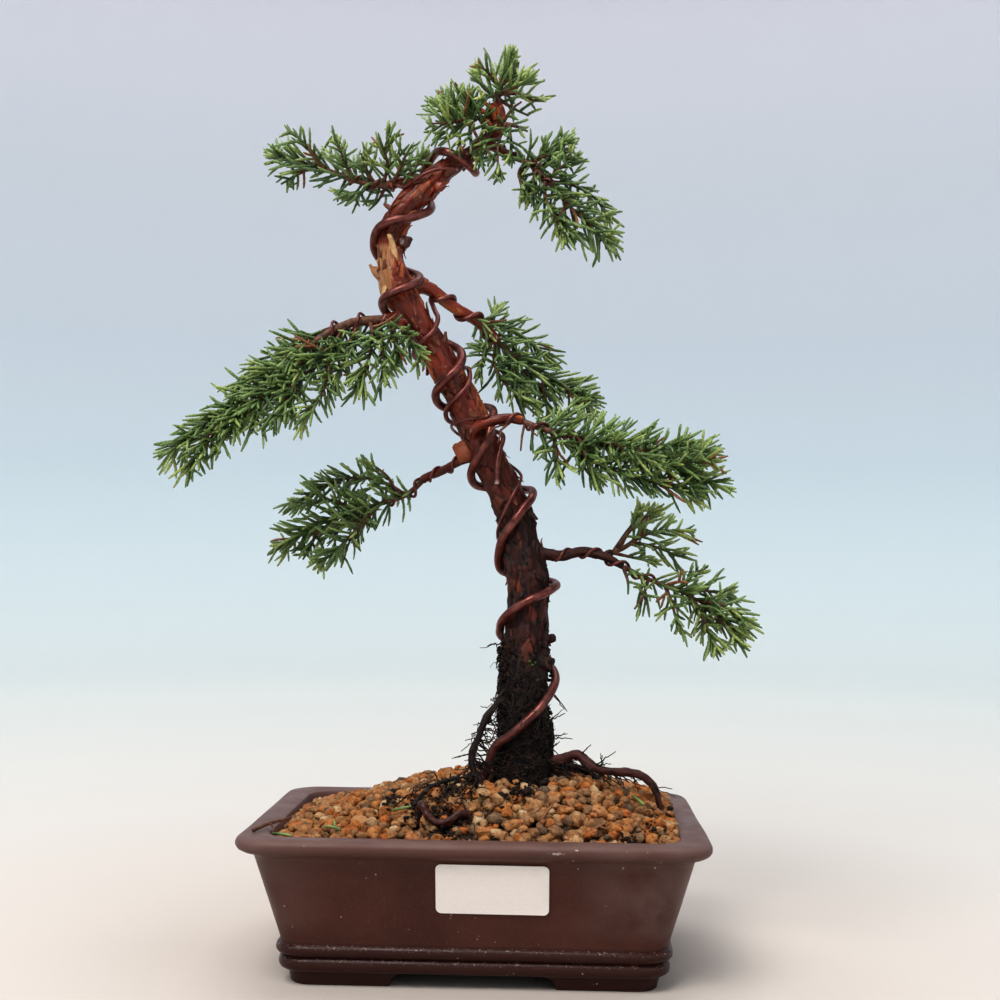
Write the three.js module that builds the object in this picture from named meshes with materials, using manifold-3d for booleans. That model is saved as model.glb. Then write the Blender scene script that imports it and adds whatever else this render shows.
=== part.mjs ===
// Kishu juniper bonsai: a wired trunk with its branches and scale-leaf sprays, standing in gravel
// in a rectangular clay pot. Millimetres, +Z up, the pot's front towards -Y.
import * as THREE from 'three';
import { mergeVertices } from 'three/addons/utils/BufferGeometryUtils.js';
import Module from 'manifold-3d';

// Driving dimensions
const GAP = 0.3;

const POT = {
  halfX: 105, halfY: 75, height: 67.4, corner: 13,
  wallTop: 58.5, wallTopInset: 7, wallFoot: 19.5, wallFootInset: 17.7,
  lipWidth: 13.5, floor: 12, floorInset: 25,
};
// The pot's outside from its underside to its rim: height and how far in from the rim's edge
const POT_PROFILE = [
  [7.4, 18.2], [9.2, 17.1], [11.2, 17.1], [12.7, 18.3], [13.4, 18.3], [14.8, 15.9], [17.2, 15.9], [18.8, 17.4],
  [POT.wallFoot, POT.wallFootInset], [POT.wallTop, POT.wallTopInset],
  [60, 3.6], [61.3, 1.2], [63.5, 0], [66, 0.3], [POT.height, 2.6],
];
const FOOT = { height: 6.3, inset: 22.8, width: 13, corner: 9, spanFront: 74, spanSide: 44, curve: 8 };
const DRAIN = {
  offset: 40, radius: 11, sides: 16,
  screen: 32, screenThick: 0.8, meshHole: 10, meshPitch: 14,
};
const MOUND = {
  edge: 62.5, rise: 24, centreX: 12, centreY: 5, spreadX: 106, spreadY: 62,
  grain: 7.6, relief: 5,
};
const LABEL = { centreX: 9, centreZ: 46.5, width: 52, height: 23.5, corner: 2.5, thick: 0.5 };

const BARK_RELIEF = 0.6;
const WIRE = { thick: 2.1, medium: 1.2, thin: 0.75 };
const NEEDLE = {
  radius: 0.8, spacing: 5.8, leanBase: 68, leanTip: 42, rise: 0.3, golden: 137.508, wireClear: 55,
  stemStep: 13,
};

// Trunk centreline from its root end in the soil to the cut top: x, y, z and bark radius
const TRUNK = [
  [21.5, 0, 64, 14.5], [21.4, 0, 78, 13.6], [21.3, 0, 90, 12.9], [21.2, 0, 102, 12.5], [21.2, 0, 115, 12.0],
  [21.0, 1, 129, 12.0], [21.0, 2, 146, 11.5], [22.0, 3, 163, 10.8], [21.8, 4, 180, 11.0],
  [18.9, 4, 193, 10.3], [16.4, 4, 208, 9.2], [12.0, 4, 220, 9.2], [5.8, 4, 232, 9.0],
  [-0.2, 3, 244, 9.0], [-6.0, 2, 257, 8.9], [-11.0, 1, 268, 8.4], [-17.6, 0, 279, 8.2],
  [-26.0, -1, 294, 7.9], [-36.0, -2, 310, 8.3], [-42.1, -2, 321, 8.8], [-46.0, -3, 331, 7.7],
  [-47.2, -3, 341, 6.9], [-46.0, -3, 351, 6.9], [-40.5, -3, 361, 7.2], [-32.0, -3, 371, 6.8],
  [-20.5, -2, 381, 5.6], [-12.0, -1, 387, 4.9], [-3.6, 0, 393, 4.6], [2.4, 1, 401, 4.4],
  [5.0, 1, 409, 4.2], [4.0, 1, 416, 3.8],
];

// Roots that show at the foot of the trunk: points and the radius at each end
const ROOTS = [
  {
    radius: [2.0, 1.3],
    points: [
      [14, -4, 129], [6, -8, 119], [2, -10, 113], [-1, -11, 104], [-4, -12, 97], [-3, -13, 90], [1, -15, 80],
    ],
  },
  {
    radius: [2.8, 1.5],
    points: [
      [27, -2, 93], [38, -3, 94], [46, -5, 97], [51, -8, 94], [56, -10, 91], [66, -12, 90], [76, -13, 89],
      [83, -14, 83], [86, -14, 72],
    ],
  },
  { radius: [2.4, 1.1], points: [[28, 3, 92], [38, 6, 90], [50, 6, 88], [62, 4, 80]] },
  { radius: [3.2, 1.4], points: [[15, 4, 94], [6, 11, 90], [-6, 17, 84], [-12, 20, 76]] },
  { radius: [3.0, 1.3], points: [[22, 6, 94], [26, 17, 90], [33, 28, 82], [38, 34, 72]] },
];
// A surface root that shows as a low arch in front of the trunk
const ROOT_LOOP = {
  radius: [1.6, 1.2],
  points: [[-22, -47, 66], [-21, -48, 78], [-16, -50, 76.5], [-9, -49, 79], [-4, -47, 78], [-1, -45, 66]],
};

// Dead wood, a torn stub and spikes left where branches were taken off
const STUBS = [
  { radius: [1.9, 1.0], points: [[-37, -3, 305], [-40, -11, 303], [-39, -14, 299]] },
  { radius: [2.4, 0.7], points: [[-45, -2, 325], [-53, -4, 328], [-57, -5, 334]] },
  { radius: [1.7, 1.1], points: [[-44, -2, 338], [-39, -7, 343], [-36, -9, 346]] },
  { radius: [1.5, 0.7], points: [[13, 3, 215], [23, 2, 211], [26, 0, 207]] },
  { radius: [2.2, 1.5], points: [[26, 2, 150], [33, -3, 152], [35, -5, 153]] },
];

// How many sides each kind of round piece has
const SIDES = { trunk: 11, root: 5, rootLoop: 6, branch: 5, stem: 4, needle: 3, thickWire: 6, thinWire: 4 };

// Route of the thick wire round the trunk: turn angle in degrees (180 left, 270 front, 360 right),
// height, and how far it stands off the bark
const THICK_ROUTE = [
  [192, 76, 6], [205, 96, 4], [235, 104.5, 1.5], [265, 111.5, 0], [290, 117.5, 0], [320, 125, 0],
  [350, 131.5, 0], [400, 139, 0], [450, 146, 0], [500, 151, 0], [545, 156.5, 0], [572, 161, 0],
  [600, 166, 0], [628, 170, 0], [658, 173.5, 0], [700, 177, 0], [760, 179.5, 0], [820, 182, 0],
  [880, 184.5, 0], [910, 190, 0], [935, 197, 0], [974, 206, 0], [1010, 214, 0], [1050, 220, 0],
  [1085, 224, 0], [1140, 225, 0], [1200, 225.5, 0], [1255, 227, 0], [1290, 232, 0], [1325, 238, 0],
  [1360, 245, 0], [1388, 253, 0], [1425, 262, 0], [1480, 265.5, 0], [1540, 265.5, 0], [1600, 265, 0],
  [1640, 269, 0], [1685, 274, 0], [1742, 282, 0], [1790, 289.5, 0], [1850, 297, 0], [1920, 305, 0],
  [1985, 313, 0], [2045, 317.5, 0], [2105, 322, 0], [2160, 328, 0], [2220, 333, 0], [2290, 338, 0],
  [2345, 344.5, 0], [2385, 350.5, 0], [2430, 353.5, 0], [2477, 355.5, 0], [2520, 361, 0],
];
// Its last stretch lies over the bend at the top
const THICK_END = [
  [-28, 5.5, 366], [-33, 7.4, 375], [-31, 6, 384], [-25.5, -1, 390], [-20.5, -9, 388.5],
  [-14, -10.6, 385.5], [-8, -8.5, 381], [-5.5, -1.5, 380],
];
// The medium wire starts beside it and leaves the trunk along this branch
const MEDIUM_BRANCH = 'back_right';
const MEDIUM_ROUTE = [
  [262, 226.5, 0.2], [280, 234, 0.2], [305, 242, 0.2], [350, 250, 0.2], [400, 253.5, 0.2], [460, 256, 0.2],
  [530, 258, 0.2], [570, 262, 0.2], [625, 268, 0.2], [672, 275, 0.2], [715, 283, 0.2], [780, 285.5, 0.2],
  [850, 287, 0.2], [905, 289, 0.2], [960, 293, 0.2], [1010, 299, 0.6], [1050, 306, 0.4], [1090, 312, 0.2],
];

// Branches. path runs from inside the trunk to the tip, bare is the share of it without foliage
// and twigs are the other leafy stems that fork from it. reach is how far foliage stands off a stem.
const BRANCHES = [
  {
    name: 'top_left', radius: [2.6, 0.9], bare: 0.2, reach: 13,
    wire: { radius: WIRE.thin, from: 0.16, to: 0.5, turns: 3.5, angle: 200 },
    path: [
      [-33, -2, 374], [-42, 0, 376], [-52, 3, 375], [-68, 6, 379], [-79, 9, 384], [-94, 11, 389],
      [-106, 14, 393],
    ],
    twigs: [
      { reach: 10, points: [[-52, 3, 375], [-49, -3, 383], [-50, -6, 390], [-48, -8, 397]] },
      { reach: 9, points: [[-60, 5, 376], [-66, 10, 371], [-74, 13, 370]] },
      { reach: 10, points: [[-82, 9, 385], [-90, 4, 395], [-98, 2, 402]] },
      { reach: 8, points: [[-68, 6, 379], [-71, 1, 387], [-74, -1, 394]] },
      { reach: 8, points: [[-51, 2, 375], [-46, 9, 381], [-40, 14, 387], [-35, 14, 392]] },
    ],
  },
  {
    name: 'crown_left', radius: [1.8, 0.9], bare: 0.2, reach: 10, wire: null,
    path: [[4, 1, 408], [-5, 3, 409], [-14, 5, 413], [-23, 6, 415]],
    twigs: [
      { reach: 8, points: [[-6, 3, 409], [-9, -3, 415], [-13, -5, 420], [-16, -5, 424]] },
      { reach: 9, points: [[-6, 3, 409], [-11, -6, 405], [-18, -11, 402], [-26, -13, 401]] },
      { reach: 8, points: [[-9, 4, 411], [-11, 11, 412], [-15, 16, 409]] },
      { reach: 7, points: [[-7, -2, 407], [-8, -9, 400], [-8, -13, 394]] },
    ],
  },
  {
    name: 'apex', radius: [2.0, 0.9], bare: 0, reach: 9, wire: null,
    path: [[4, 1, 416.3], [5.5, 0, 422], [8, -2, 429], [10, -4, 435]],
    twigs: [
      { reach: 9, points: [[5, 0, 420], [14, 3, 421], [22, 6, 419], [28, 8, 419]] },
      { reach: 7, points: [[6, 0, 423], [1, -5, 428], [-2, -8, 430]] },
      { reach: 8, points: [[5, 0, 421], [9, 9, 425], [8, 15, 428]] },
    ],
  },
  {
    name: 'crown_low', radius: [1.5, 0.9], bare: 0.3, reach: 8, wire: null,
    path: [[3, 1, 402], [9, -5, 403], [15, -8, 401], [20, -10, 398]],
    twigs: [{ reach: 7, points: [[9, -6, 403], [6, -13, 391], [6, -17, 378]] }],
  },
  {
    name: 'top_right', radius: [2.2, 0.9], bare: 0.24, reach: 14,
    wire: { radius: WIRE.thin, from: 0.12, to: 0.52, turns: 4, angle: 100 },
    path: [
      [-1, 1, 397], [6, -3, 391], [14, -7, 386], [21, -10, 382], [30, -14, 373], [38, -17, 362],
      [47, -21, 352], [56, -24, 342],
    ],
    twigs: [
      { reach: 9, points: [[21, -10, 382], [29, -9, 388], [38, -10, 392]] },
      { reach: 10, points: [[29, -14, 374], [29, -20, 363], [34, -25, 352], [40, -28, 345]] },
      { reach: 10, points: [[31, -14, 372], [42, -9, 372], [52, -6, 367], [58, -5, 360]] },
      { reach: 7, points: [[25, -12, 379], [23, -16, 371], [25, -18, 361]] },
    ],
  },
  {
    name: 'left_upper', radius: [3.0, 1.0], bare: 0.1, reach: 14,
    wire: { radius: WIRE.thin, from: 0.1, to: 0.42, turns: 5, angle: 150 },
    path: [
      [-37, -3, 308], [-49, -9, 305.5], [-60, -12, 304.5], [-71, -17, 300], [-86, -22, 288], [-111, -28, 267],
      [-129, -33, 252], [-142, -37, 240],
    ],
    twigs: [
      {
        reach: 14,
        points: [[-66, -14, 303], [-71, -21, 293], [-83, -27, 280], [-98, -31, 267], [-115, -34, 256]],
      },
      { reach: 12, points: [[-56, -10, 306], [-53, -19, 296], [-54, -24, 284], [-57, -28, 274]] },
      { reach: 8, points: [[-51, -8, 307], [-45, -16, 303], [-42, -24, 294], [-41, -27, 284]] },
      { reach: 12, points: [[-62, -13, 304], [-75, -7, 302], [-91, -5, 295], [-108, -10, 281]] },
      { reach: 11, points: [[-70, -17, 300], [-76, -9, 290], [-87, -8, 279], [-99, -12, 268]] },
      { reach: 10, points: [[-73, -22, 290], [-72, -30, 277], [-75, -34, 265], [-80, -36, 257]] },
      { reach: 8, points: [[-88, -29, 276], [-92, -34, 263], [-96, -36, 255]] },
      { reach: 8, points: [[-108, -33, 260], [-116, -36, 251], [-121, -37, 243]] },
    ],
  },
  {
    name: 'back_right', radius: [2.7, 1.0], bare: 0.34, reach: 16,
    wire: { radius: WIRE.medium, from: 0.16, to: 0.5, turns: 5, angle: 250 },
    path: [
      [-41, -1, 323], [-29, 5, 324], [-17, 10, 316], [-3, 15, 308], [8, 19, 297], [22, 24, 287],
      [37, 29, 279], [50, 33, 274],
    ],
    twigs: [
      { reach: 12, points: [[-2, 15, 307], [5, 22, 309], [16, 27, 304], [28, 31, 296]] },
      { reach: 12, points: [[5, 18, 300], [4, 13, 288], [9, 11, 278], [18, 13, 270]] },
      { reach: 11, points: [[10, 19, 296], [17, 30, 288], [26, 38, 278]] },
      { reach: 7, points: [[0, 17, 308], [2, 21, 313], [4, 23, 318]] },
    ],
  },
  {
    name: 'right_main', radius: [2.5, 1.0], bare: 0.3, reach: 15,
    wire: { radius: WIRE.thin, from: 0.17, to: 0.5, turns: 5, angle: 60 },
    path: [
      [-4, 1, 251], [-4, -10, 252], [-1, -17, 254], [6, -18.5, 256], [13, -18, 257], [21, -18, 255],
      [31, -21, 251], [51, -24, 246], [74, -27, 238], [94, -30, 231], [107, -33, 226],
    ],
    twigs: [
      { reach: 13, points: [[37, -22, 250], [45, -25, 241], [59, -27, 233], [78, -29, 227], [97, -32, 222]] },
      {
        reach: 13,
        points: [[39, -22, 249], [55, -12, 248], [75, -11, 245], [93, -14, 242], [104, -16, 242]],
      },
      { reach: 10, points: [[34, -21, 250], [35, -28, 243], [36, -32, 233]] },
      { reach: 10, points: [[54, -24, 246], [64, -34, 243], [77, -39, 236]] },
    ],
  },
  {
    name: 'left_lower', radius: [2.2, 0.9], bare: 0.32, reach: 14,
    wire: { radius: WIRE.thin, from: 0.11, to: 0.5, turns: 5.5, angle: 20 },
    path: [
      [2, 3, 240], [-10, 6, 239], [-22, 9, 233], [-30, 12, 230], [-37, 14, 223], [-50, 16, 218],
      [-69, 19, 213], [-88, 22, 205], [-101, 24, 197],
    ],
    twigs: [
      { reach: 12, points: [[-40, 14, 222], [-51, 20, 228], [-66, 24, 231], [-82, 26, 227], [-96, 27, 218]] },
      { reach: 12, points: [[-53, 16, 217], [-61, 10, 207], [-70, 8, 197], [-79, 10, 189]] },
      { reach: 11, points: [[-56, 17, 216], [-66, 28, 212], [-79, 34, 204]] },
    ],
  },
  {
    name: 'right_lower_upright', radius: [1.6, 0.8], bare: 0.14, reach: 9, wire: null,
    path: [[57, -2, 192.2], [68, 3, 196], [77, 6, 202], [87, 10, 205], [98, 13, 205]],
    twigs: [
      { reach: 8, points: [[66, 2, 195], [70, -3, 203], [76, -6, 209], [81, -8, 213]] },
      { reach: 7, points: [[76, 6, 201], [80, 12, 208], [84, 17, 212]] },
      { reach: 8, points: [[72, 5, 199], [84, 10, 197], [95, 14, 193]] },
    ],
  },
  {
    name: 'right_lower', radius: [2.4, 0.9], bare: 0.46, reach: 11,
    wire: { radius: WIRE.thin, from: 0.13, to: 0.62, turns: 6, angle: 300 },
    path: [
      [23, 3, 195], [37, 0, 192], [48, -1, 194], [58, -2, 192], [74, -4, 184], [83, -6, 180], [94, -7, 176],
      [106, -8, 170], [117, -10, 162],
    ],
    twigs: [
      { reach: 10, points: [[98, -7, 174], [107, -2, 176], [117, 2, 174]] },
      { reach: 10, points: [[100, -8, 173], [105, -14, 163], [109, -17, 153]] },
      { reach: 9, points: [[104, -8, 171], [113, -14, 170], [122, -16, 164]] },
      { reach: 9, points: [[109, -9, 168], [115, -14, 160], [120, -17, 154]] },
      { reach: 7, points: [[80, -5, 181], [77, -10, 173], [73, -12, 167]] },
    ],
  },
];

const COLOUR = {
  clay: 0x4a2c26, gravel: 0xb5713a, bark: 0x5f3324, copper: 0x6a3a2c,
  foliage: 0x3f6b34, paper: 0xf1f1ef, screen: 0x23272a,
};

// Joining and cutting closed geometry
const wasm = await Module();
wasm.setup();

function solid(geometry) {
  const bare = geometry.clone();
  bare.deleteAttribute('normal');
  bare.deleteAttribute('uv');
  const merged = mergeVertices(bare, 1e-5);
  return new wasm.Manifold(new wasm.Mesh({
    numProp: 3,
    vertProperties: Float32Array.from(merged.attributes.position.array),
    triVerts: Uint32Array.from(merged.index.array),
  }));
}

function geometryOf(manifold) {
  const mesh = manifold.getMesh();
  const geometry = new THREE.BufferGeometry();
  geometry.setAttribute('position', new THREE.BufferAttribute(Float32Array.from(mesh.vertProperties), 3));
  geometry.setIndex(Array.from(mesh.triVerts));
  return geometry;
}

const join = (parts) => parts.reduce((whole, part) => whole.add(part));

// A cut can leave loose scraps behind, so only the largest body is kept
function largest(manifold) {
  return manifold.decompose().reduce((best, part) => (part.volume() > best.volume() ? part : best));
}

// The same draw of random numbers on every run
function randomFrom(seed) {
  let state = seed;
  return () => {
    state = (state * 1664525 + 1013904223) % 4294967296;
    return state / 4294967296;
  };
}

const vector = ([x, y, z]) => new THREE.Vector3(x, y, z);
const curveThrough = (points) => new THREE.CatmullRomCurve3(points.map(vector), false, 'catmullrom', 0.5);

// The stretch of a curve between two shares of its length
function stretch(curve, from, to, count) {
  const points = [];
  for (let i = 0; i <= count; i++) points.push(curve.getPointAt(from + ((to - from) * i) / count));
  return new THREE.CatmullRomCurve3(points, false, 'catmullrom', 0.5);
}

// Frames that run along a curve without twisting
function framesAlong(curve, steps) {
  const frames = [];
  let normal = new THREE.Vector3(1, 0.31, 0.17).normalize();
  for (let i = 0; i <= steps; i++) {
    const tangent = curve.getTangent(i / steps);
    normal = normal.clone().addScaledVector(tangent, -normal.dot(tangent)).normalize();
    frames.push({ centre: curve.getPoint(i / steps), normal, side: tangent.clone().cross(normal) });
  }
  return frames;
}

// A round limb along a curve: a cylinder whose rings are moved onto the curve
function limb(curve, { sides, steps, radiusAt }) {
  const geometry = new THREE.CylinderGeometry(1, 1, 1, sides, steps);
  const frames = framesAlong(curve, steps);
  const position = geometry.attributes.position;
  for (let i = 0; i < position.count; i++) {
    const along = 0.5 + position.getY(i);
    const across = position.getX(i);
    const over = position.getZ(i);
    const frame = frames[Math.round(along * steps)];
    const radius = radiusAt(along, Math.atan2(over, across));
    const point = frame.centre.clone()
      .addScaledVector(frame.normal, across * radius)
      .addScaledVector(frame.side, -over * radius);
    position.setXYZ(i, point.x, point.y, point.z);
  }
  return solid(geometry);
}

function taperedLimb({ points, radius }, sides, steps, extra = 0) {
  const radiusAt = (along) => THREE.MathUtils.lerp(radius[0], radius[1], along) + extra;
  return limb(curveThrough(points), { sides, steps, radiusAt });
}

// A wire along a list of points
function wireSolid(points, radius, sides, steps) {
  const section = new THREE.Shape(
    Array.from({ length: sides }, (_, i) => {
      const angle = (2 * Math.PI * i) / sides;
      return new THREE.Vector2(radius * Math.cos(angle), radius * Math.sin(angle));
    }),
  );
  const path = new THREE.CatmullRomCurve3(points, false, 'catmullrom', 0.5);
  return solid(new THREE.ExtrudeGeometry(section, { steps, extrudePath: path, bevelEnabled: false }));
}

// Pot: stacked outlines with rounded corners make its outside and its inside
function roundedRectangle(halfX, halfY, corner) {
  const arcs = 3;
  const points = [];
  for (let quarter = 0; quarter < 4; quarter++) {
    const centreX = (quarter === 0 || quarter === 3 ? 1 : -1) * (halfX - corner);
    const centreY = (quarter < 2 ? 1 : -1) * (halfY - corner);
    for (let step = 0; step <= arcs; step++) {
      const angle = ((quarter + step / arcs) * Math.PI) / 2;
      const arc = new THREE.Vector2(corner * Math.cos(angle), corner * Math.sin(angle));
      points.push(arc.add(new THREE.Vector2(centreX, centreY)));
    }
  }
  return points;
}

function stackedSolid(levels) {
  const rings = levels.map(({ halfX, halfY, corner, z }) => (
    roundedRectangle(halfX, halfY, corner).map((p) => [p.x, p.y, z])));
  const count = rings[0].length;
  const index = [];
  for (let ring = 0; ring < rings.length - 1; ring++) {
    for (let i = 0; i < count; i++) {
      const a = ring * count + i;
      const b = ring * count + ((i + 1) % count);
      index.push(a, b, b + count, a, b + count, a + count);
    }
  }
  const top = (rings.length - 1) * count;
  const outline = rings[0].map(([x, y]) => new THREE.Vector2(x, y));
  const flat = THREE.ShapeUtils.triangulateShape(outline, []);
  for (const [a, b, c] of flat) index.push(a, c, b, top + a, top + b, top + c);
  const geometry = new THREE.BufferGeometry();
  geometry.setAttribute('position', new THREE.Float32BufferAttribute(rings.flat(2), 3));
  geometry.setIndex(index);
  return solid(geometry);
}

// One outline of the pot, as far in from the rim as inset says
function potLevel(z, inset, corner = POT.corner - inset * 0.3) {
  return { halfX: POT.halfX - inset, halfY: POT.halfY - inset, corner, z };
}

function potInside(gap) {
  return stackedSolid([
    potLevel(POT.floor + gap, POT.floorInset + gap, 6),
    potLevel(POT.height - 4, POT.lipWidth + 0.6 + gap, 8),
    potLevel(POT.height + 40, POT.lipWidth - 0.4 + gap, 8),
  ]);
}

// The arch cut out between two feet, through the whole pot along Y
function footArch(span) {
  const half = span / 2;
  const outline = new THREE.Shape();
  outline.moveTo(-half, -1);
  outline.quadraticCurveTo(-half + 1, FOOT.height, -half + FOOT.curve, FOOT.height);
  outline.lineTo(half - FOOT.curve, FOOT.height);
  outline.quadraticCurveTo(half - 1, FOOT.height, half, -1);
  const depth = 2 * POT.halfX;
  const geometry = new THREE.ExtrudeGeometry(outline, { depth, bevelEnabled: false, curveSegments: 4 });
  geometry.translate(0, 0, -depth / 2);
  geometry.rotateX(Math.PI / 2);
  return geometry;
}

function drainHoles() {
  return [-1, 1].map((side) => {
    const hole = new THREE.CylinderGeometry(DRAIN.radius, DRAIN.radius, 3 * POT.floor, DRAIN.sides);
    hole.rotateX(Math.PI / 2);
    hole.translate(side * DRAIN.offset, 0, POT.floor);
    return solid(hole);
  });
}

function pot() {
  const body = stackedSolid([
    potLevel(FOOT.height, 20.5, FOOT.corner),
    ...POT_PROFILE.map(([z, inset]) => potLevel(z, inset)),
  ]);
  const foot = stackedSolid([
    potLevel(0, FOOT.inset, FOOT.corner),
    potLevel(FOOT.height + 0.2, FOOT.inset - 1.2, FOOT.corner),
  ]);
  const underside = stackedSolid([
    potLevel(-1, FOOT.inset + FOOT.width, 4),
    potLevel(FOOT.height, FOOT.inset + FOOT.width, 4),
  ]);
  const sideArch = footArch(FOOT.spanSide);
  sideArch.rotateZ(Math.PI / 2);
  const feet = foot.subtract(join([underside, solid(footArch(FOOT.spanFront)), solid(sideArch)]));
  return join([body, feet]).subtract(join([potInside(0), ...drainHoles()]));
}

// A square of plastic mesh over each drain hole
function drainScreen() {
  const plate = solid(new THREE.BoxGeometry(DRAIN.screen, DRAIN.screen, DRAIN.screenThick));
  const places = [-0.5, 0.5].map((step) => step * DRAIN.meshPitch);
  const holes = places.flatMap((x) => places.map((y) => (
    solid(new THREE.BoxGeometry(DRAIN.meshHole, DRAIN.meshHole, 4 * DRAIN.screenThick).translate(x, y, 0)))));
  return plate.subtract(join(holes)).translate([0, 0, DRAIN.screenThick / 2]);
}

// Gravel: a mound that fills the pot, its surface broken up into grains
function moundHeight(x, y) {
  const fallX = Math.min(1, (Math.abs(x - MOUND.centreX) / MOUND.spreadX) ** 2.4);
  const fallY = Math.min(1, (Math.abs(y - MOUND.centreY) / MOUND.spreadY) ** 2.2);
  return MOUND.edge + MOUND.rise * (1 - fallX) * (1 - fallY);
}

// A number from 0 to 1 that depends only on the place
function scatter(x, y) {
  const value = Math.sin(x * 12.9898 + y * 78.233) * 43758.5453;
  return value - Math.floor(value);
}

function gravelSlab() {
  const width = 2 * (POT.halfX - POT.lipWidth) + 4;
  const depth = 2 * (POT.halfY - POT.lipWidth) + 4;
  const slab = new THREE.BoxGeometry(
    width, depth, 1, Math.round(width / MOUND.grain), Math.round(depth / MOUND.grain), 1,
  );
  const position = slab.attributes.position;
  for (let i = 0; i < position.count; i++) {
    const x = position.getX(i);
    const y = position.getY(i);
    if (position.getZ(i) < 0) {
      position.setZ(i, 0);
    } else {
      const shiftX = (scatter(x, y) - 0.5) * MOUND.grain * 0.7;
      const shiftY = (scatter(y, x) - 0.5) * MOUND.grain * 0.7;
      const inside = Math.abs(x) < width / 2 - 1 && Math.abs(y) < depth / 2 - 1;
      const relief = (scatter(x + 3, y - 7) - 0.5) * MOUND.relief;
      position.setXYZ(
        i, x + (inside ? shiftX : 0), y + (inside ? shiftY : 0), moundHeight(x, y) + relief,
      );
    }
  }
  return solid(slab);
}

// Trunk
const trunkCurve = curveThrough(TRUNK);

function trunkRadius(along) {
  const place = along * (TRUNK.length - 1);
  const low = Math.min(Math.floor(place), TRUNK.length - 2);
  return THREE.MathUtils.lerp(TRUNK[low][3], TRUNK[low + 1][3], place - low);
}

// Ropy bark: ridges that wander round the trunk, stronger at its foot
function barkRadius(along, angle) {
  const ridges = 0.5 * Math.sin(3 * angle + 9 * along) + 0.3 * Math.sin(5 * angle - 14 * along)
    + 0.2 * Math.sin(23 * along + angle);
  return trunkRadius(along) + BARK_RELIEF * ridges * (along < 0.97 ? 1 : 0);
}

function trunkLimb(extra = 0) {
  return limb(trunkCurve, {
    sides: SIDES.trunk, steps: TRUNK.length + 1, radiusAt: (along, angle) => barkRadius(along, angle) + extra,
  });
}

const branchCurve = (branch) => curveThrough(branch.path);

function branchRadius(branch, along) {
  return THREE.MathUtils.lerp(branch.radius[0], branch.radius[1], along);
}

// The bare wood of a branch, from inside the trunk to where its foliage starts
function bareWood(branch, extra = 0) {
  const curve = stretch(branchCurve(branch), 0, branch.bare, 6);
  const radiusAt = (along) => branchRadius(branch, along * branch.bare) + extra;
  const steps = Math.max(2, Math.round(curve.getLength() / 8));
  return limb(curve, { sides: SIDES.branch, steps, radiusAt });
}

function growth(extra = 0) {
  const roots = ROOTS.map((root) => taperedLimb(root, SIDES.root, root.points.length, extra));
  const stubs = STUBS.map((stub) => taperedLimb(stub, SIDES.root, 2, extra));
  const woods = BRANCHES.filter((branch) => branch.bare > 0).map((branch) => bareWood(branch, extra));
  return largest(join([trunkLimb(extra), ...roots, ...stubs, ...woods]));
}

const rootLoop = (extra = 0) => taperedLimb(ROOT_LOOP, SIDES.rootLoop, 10, extra);

// Wires round the trunk. A place on the trunk's surface is found from the turn angle and the height.
function onTrunk(degrees, height, standOff) {
  const angle = THREE.MathUtils.degToRad(degrees);
  let low = 0;
  let high = 1;
  let point;
  for (let i = 0; i < 24; i++) {
    const along = (low + high) / 2;
    const tangent = trunkCurve.getTangent(along);
    const right = new THREE.Vector3(1, 0, 0).addScaledVector(tangent, -tangent.x).normalize();
    const back = tangent.clone().cross(right);
    point = trunkCurve.getPoint(along)
      .addScaledVector(right, Math.cos(angle) * (trunkRadius(along) + standOff))
      .addScaledVector(back, Math.sin(angle) * (trunkRadius(along) + standOff));
    if (point.z < height) low = along;
    else high = along;
  }
  return point;
}

function routeOnTrunk(route, wireRadius) {
  const degrees = route.map(([turn]) => turn);
  const points = [];
  const step = 25;
  for (let turn = degrees[0]; turn <= degrees[degrees.length - 1]; turn += step) {
    const next = Math.max(1, degrees.findIndex((d) => d >= turn));
    const share = (turn - degrees[next - 1]) / (degrees[next] - degrees[next - 1]);
    const height = THREE.MathUtils.lerp(route[next - 1][1], route[next][1], share);
    const off = THREE.MathUtils.lerp(route[next - 1][2], route[next][2], share);
    points.push(onTrunk(turn, height, off + wireRadius + BARK_RELIEF + 2 * GAP));
  }
  return points;
}

// Side and up directions across a stem, the same way round wherever it points
function acrossStem(tangent) {
  const pole = Math.abs(tangent.z) > 0.93 ? new THREE.Vector3(0, 1, 0) : new THREE.Vector3(0, 0, 1);
  const side = tangent.clone().cross(pole).normalize();
  return { side, up: side.clone().cross(tangent) };
}

// Points of the wire wound round a branch between two shares of its length
function woundPoints(branch) {
  const { wire } = branch;
  const curve = branchCurve(branch);
  const perTurn = 7;
  const count = Math.round(wire.turns * perTurn);
  const points = [];
  for (let i = 0; i <= count; i++) {
    const along = wire.from + ((wire.to - wire.from) * i) / count;
    const angle = woundAngle(wire, along);
    const { side, up } = acrossStem(curve.getTangentAt(along));
    const off = branchRadius(branch, along) + wire.radius + 2 * GAP;
    points.push(curve.getPointAt(along)
      .addScaledVector(side, off * Math.cos(angle))
      .addScaledVector(up, off * Math.sin(angle)));
  }
  return points;
}

function woundAngle(wire, along) {
  const turned = (wire.turns * 360 * (along - wire.from)) / (wire.to - wire.from);
  return THREE.MathUtils.degToRad(wire.angle + turned);
}

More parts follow.
